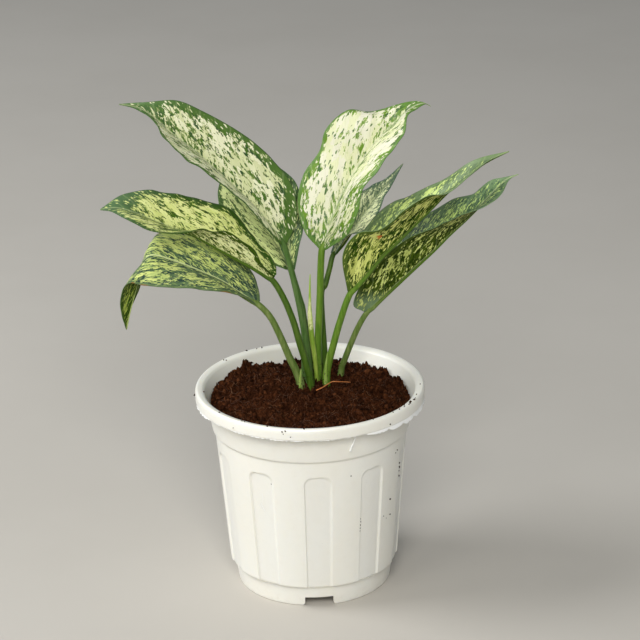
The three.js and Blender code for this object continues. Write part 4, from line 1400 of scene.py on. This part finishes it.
def ragged_film(name, low, high, depth, seed, plastic):
    """Thin film left by the mould, hanging ragged from the edge of the rim and leaning outward."""
    span = high - low
    count = int(span / 0.5)
    top, bottom = [], []
    for k in range(count + 1):
        part = k / count
        azimuth = low + span * part
        scallops = abs(math.sin(part * span * 0.27 + 1.9 * noise.noise(Vector((part * 7, seed, 0)))))
        hang = depth * math.sin(math.pi * part) ** 0.5 * (0.45 + 0.55 * scallops)
        hang = max(0.15, hang + 0.5 * noise.noise(Vector((part * span * 0.9, seed, 3))))
        lean = 0.42 * hang + 0.25 * noise.noise(Vector((part * 14, seed, 4)))
        top.append(round_axis(azimuth, FILM_RADIUS, FILM_TOP))
        bottom.append(round_axis(azimuth, FILM_RADIUS + lean, FILM_EDGE - hang))
    outer = np.array(top + bottom)
    inner = outer - unit(outer * [1, 1, 0]) * FILM_THICK
    columns = count + 1
    faces = grid_faces(2, columns, flip=True) + grid_faces(2, columns, start=2 * columns)
    for j in range(count):
        faces.append((columns + j, columns + j + 1, 3 * columns + j + 1, 3 * columns + j))
        faces.append((j + 1, j, 2 * columns + j, 2 * columns + j + 1))
    faces.append((0, columns, 3 * columns, 2 * columns))
    faces.append((count, 2 * columns + count, 3 * columns + count, columns + count))
    make_piece(name, np.vstack([outer, inner]), faces, [plastic], ["pot"], sharp=50)


# Burrs of plastic on the pot: azimuth, radius and height of each point, then the radii at the two ends
POT_BURRS = [
    (
        [
            (24.9, 69.4, 129.5), (24.4, 68.3, 125.5), (23.2, 67.9, 121.5), (21.9, 67.5, 118.3),
            (21.6, 67.6, 116.6),
        ],
        0.4, 1.0,
    ),
    ([(-35.2, 60.72, 74.5), (-34.2, 60.66, 72.6), (-33.4, 60.6, 70.6)], 0.14, 0.1),
    ([(-33.6, 60.85, 75.6), (-32.6, 60.75, 73.2), (-31.4, 60.6, 70.4)], 0.15, 0.12),
    ([(-32.4, 61.05, 83.0), (-32.2, 60.95, 79.5), (-32.6, 60.85, 76.0)], 0.1, 0.08),
    ([(-37.8, 52.1, 8.2), (-36.6, 52.05, 7.4), (-35.8, 52.0, 6.6)], 0.2, 0.12),
]


def make_burrs(plastic, rows=14):
    """Stray threads and small raised scratches left on the plastic."""
    parts = []
    for spots, first, last in POT_BURRS:
        path = curve_at([round_axis(*spot) for spot in spots], np.linspace(0, 1, rows))
        parts.append(tube(path, np.linspace(first, last, rows), 8))
    points, faces = join_parts(parts)
    make_piece("pot_burrs", points, faces, [plastic], ["pot"], sharp=60)


# ---------------------------------------------------------------- build

pot_plastic = pot_material("moulded_off_white_plastic")
film_plastic = plain_material("thin_white_film", (0.93, 0.93, 0.91), (0.88, 0.89, 0.86), 0.35)
make_pot(pot_plastic)
for name, (low, high, depth, seed) in FILMS.items():
    ragged_film(name, low, high, depth, seed, film_plastic)
make_burrs(film_plastic)

coir_mix = earth_material("coir_mix", (0.028, 0.0075, 0.0022), (0.095, 0.03, 0.0105))
dark_crumb = earth_material("dark_crumb", (0.02, 0.0055, 0.0018), (0.055, 0.017, 0.006))
brown_crumb = earth_material("brown_crumb", (0.08, 0.025, 0.0085), (0.14, 0.048, 0.018))
brown_fibre = plain_material("brown_fibre", (0.085, 0.033, 0.016), (0.13, 0.055, 0.026), 0.8)
pale_fibre = plain_material("pale_fibre", (0.24, 0.11, 0.045), (0.17, 0.075, 0.03), 0.75)
orange_fibre = plain_material("orange_fibre", (0.62, 0.19, 0.045), (0.7, 0.3, 0.1), 0.7)
make_soil(coir_mix)
make_crumbs(dark_crumb, brown_crumb)
make_fibres(brown_fibre, pale_fibre)
make_pot_crumbs(dark_crumb)
make_long_fibre(orange_fibre)

stalk_skins = {
    "green": stalk_material("green_stalk", (0.085, 0.185, 0.012), (0.18, 0.29, 0.035)),
    "dark": stalk_material("dark_green_stalk", (0.042, 0.1, 0.006), (0.095, 0.165, 0.018)),
    "dull": stalk_material("dull_green_stalk", (0.11, 0.18, 0.032), (0.24, 0.3, 0.095)),
    "grey": stalk_material("grey_green_stalk", (0.06, 0.135, 0.024), (0.13, 0.21, 0.06)),
}
pale_sheath = stalk_material("pale_sheath", (0.24, 0.38, 0.06), (0.45, 0.55, 0.18))
for leaf in LEAVES:
    look = {**PLAIN_LOOK, **LOOKS[leaf["look"]]}
    upper_face = blade_material(leaf["name"] + "_upper", look)
    under_face = blade_material(
        leaf["name"] + "_under", under_look(look, UNDER_LOOKS.get(leaf["look"], {})), under=True
    )
    make_blade(leaf, upper_face, under_face)
    make_stalk(leaf, stalk_skins[leaf["skin"]])
    if "sheath" in leaf:
        make_sheath(leaf, pale_sheath)
make_new_leaf(young_material("young_leaf"))

# ---------------------------------------------------------------- floor, light, camera

floor_mesh = bpy.data.meshes.new("floor")
floor_mesh.from_pydata([(-6, -4, 0), (6, -4, 0), (6, 12, 0), (-6, 12, 0)], [], [(0, 1, 2, 3)])
pale_floor = plain_material("pale_floor", (0.54, 0.51, 0.46), (0.52, 0.49, 0.44), 0.85, patch=300.0)
floor_mesh.materials.append(pale_floor)
floor = bpy.data.objects.new("floor", floor_mesh)
bpy.context.scene.collection.objects.link(floor)

world = bpy.data.worlds.new("studio")
bpy.context.scene.world = world
world.use_nodes = True
background = world.node_tree.nodes["Background"]
background.inputs["Color"].default_value = (0.86, 0.93, 1.0, 1)
background.inputs["Strength"].default_value = 0.24

# Each light's place, size and power, and its colour. All of them point at the pot.
LIGHTS = {
    "left_light": ((-2.05, 0.05, 1.65), 1.4, 42, (0.98, 0.99, 1.0)),
    "front_light": ((-0.05, -2.1, 1.65), 1.3, 43, (1.0, 0.985, 0.95)),
    "corner_light": ((-1.7, -1.7, 1.7), 1.4, 12, (1.0, 0.985, 0.95)),
}
LIGHT_AIM = Vector((0, 0, 0.15))

for name, (place, size, power, colour) in LIGHTS.items():
    light = bpy.data.lights.new(name, "AREA")
    light.shape = "DISK"
    light.size = size
    light.energy = power
    light.color = colour
    lamp = bpy.data.objects.new(name, light)
    lamp.location = place
    lamp.rotation_euler = (LIGHT_AIM - Vector(place)).to_track_quat("-Z", "Y").to_euler()
    bpy.context.scene.collection.objects.link(lamp)

# The camera that took the photo: its place from the pot's foot, its turns, and its lens
PHOTO_PLACE = (0, -1.5387, 0.78275)
PHOTO_TURNS = (68.695, 1.254, -0.775)
SENSOR_WIDTH = 36
PHOTO_LENS = 2523 / 640 * SENSOR_WIDTH

camera_data = bpy.data.cameras.new("photo_view")
camera_data.sensor_width = SENSOR_WIDTH
camera_data.lens = PHOTO_LENS
camera_data.clip_end = 50
camera = bpy.data.objects.new("photo_view", camera_data)
camera.location = Vector(PHOTO_PLACE) + Vector(POT_AXIS)
camera.rotation_euler = [math.radians(turn) for turn in PHOTO_TURNS]
bpy.context.scene.collection.objects.link(camera)
bpy.context.scene.camera = camera
bpy.context.scene.view_settings.view_transform = "Standard"
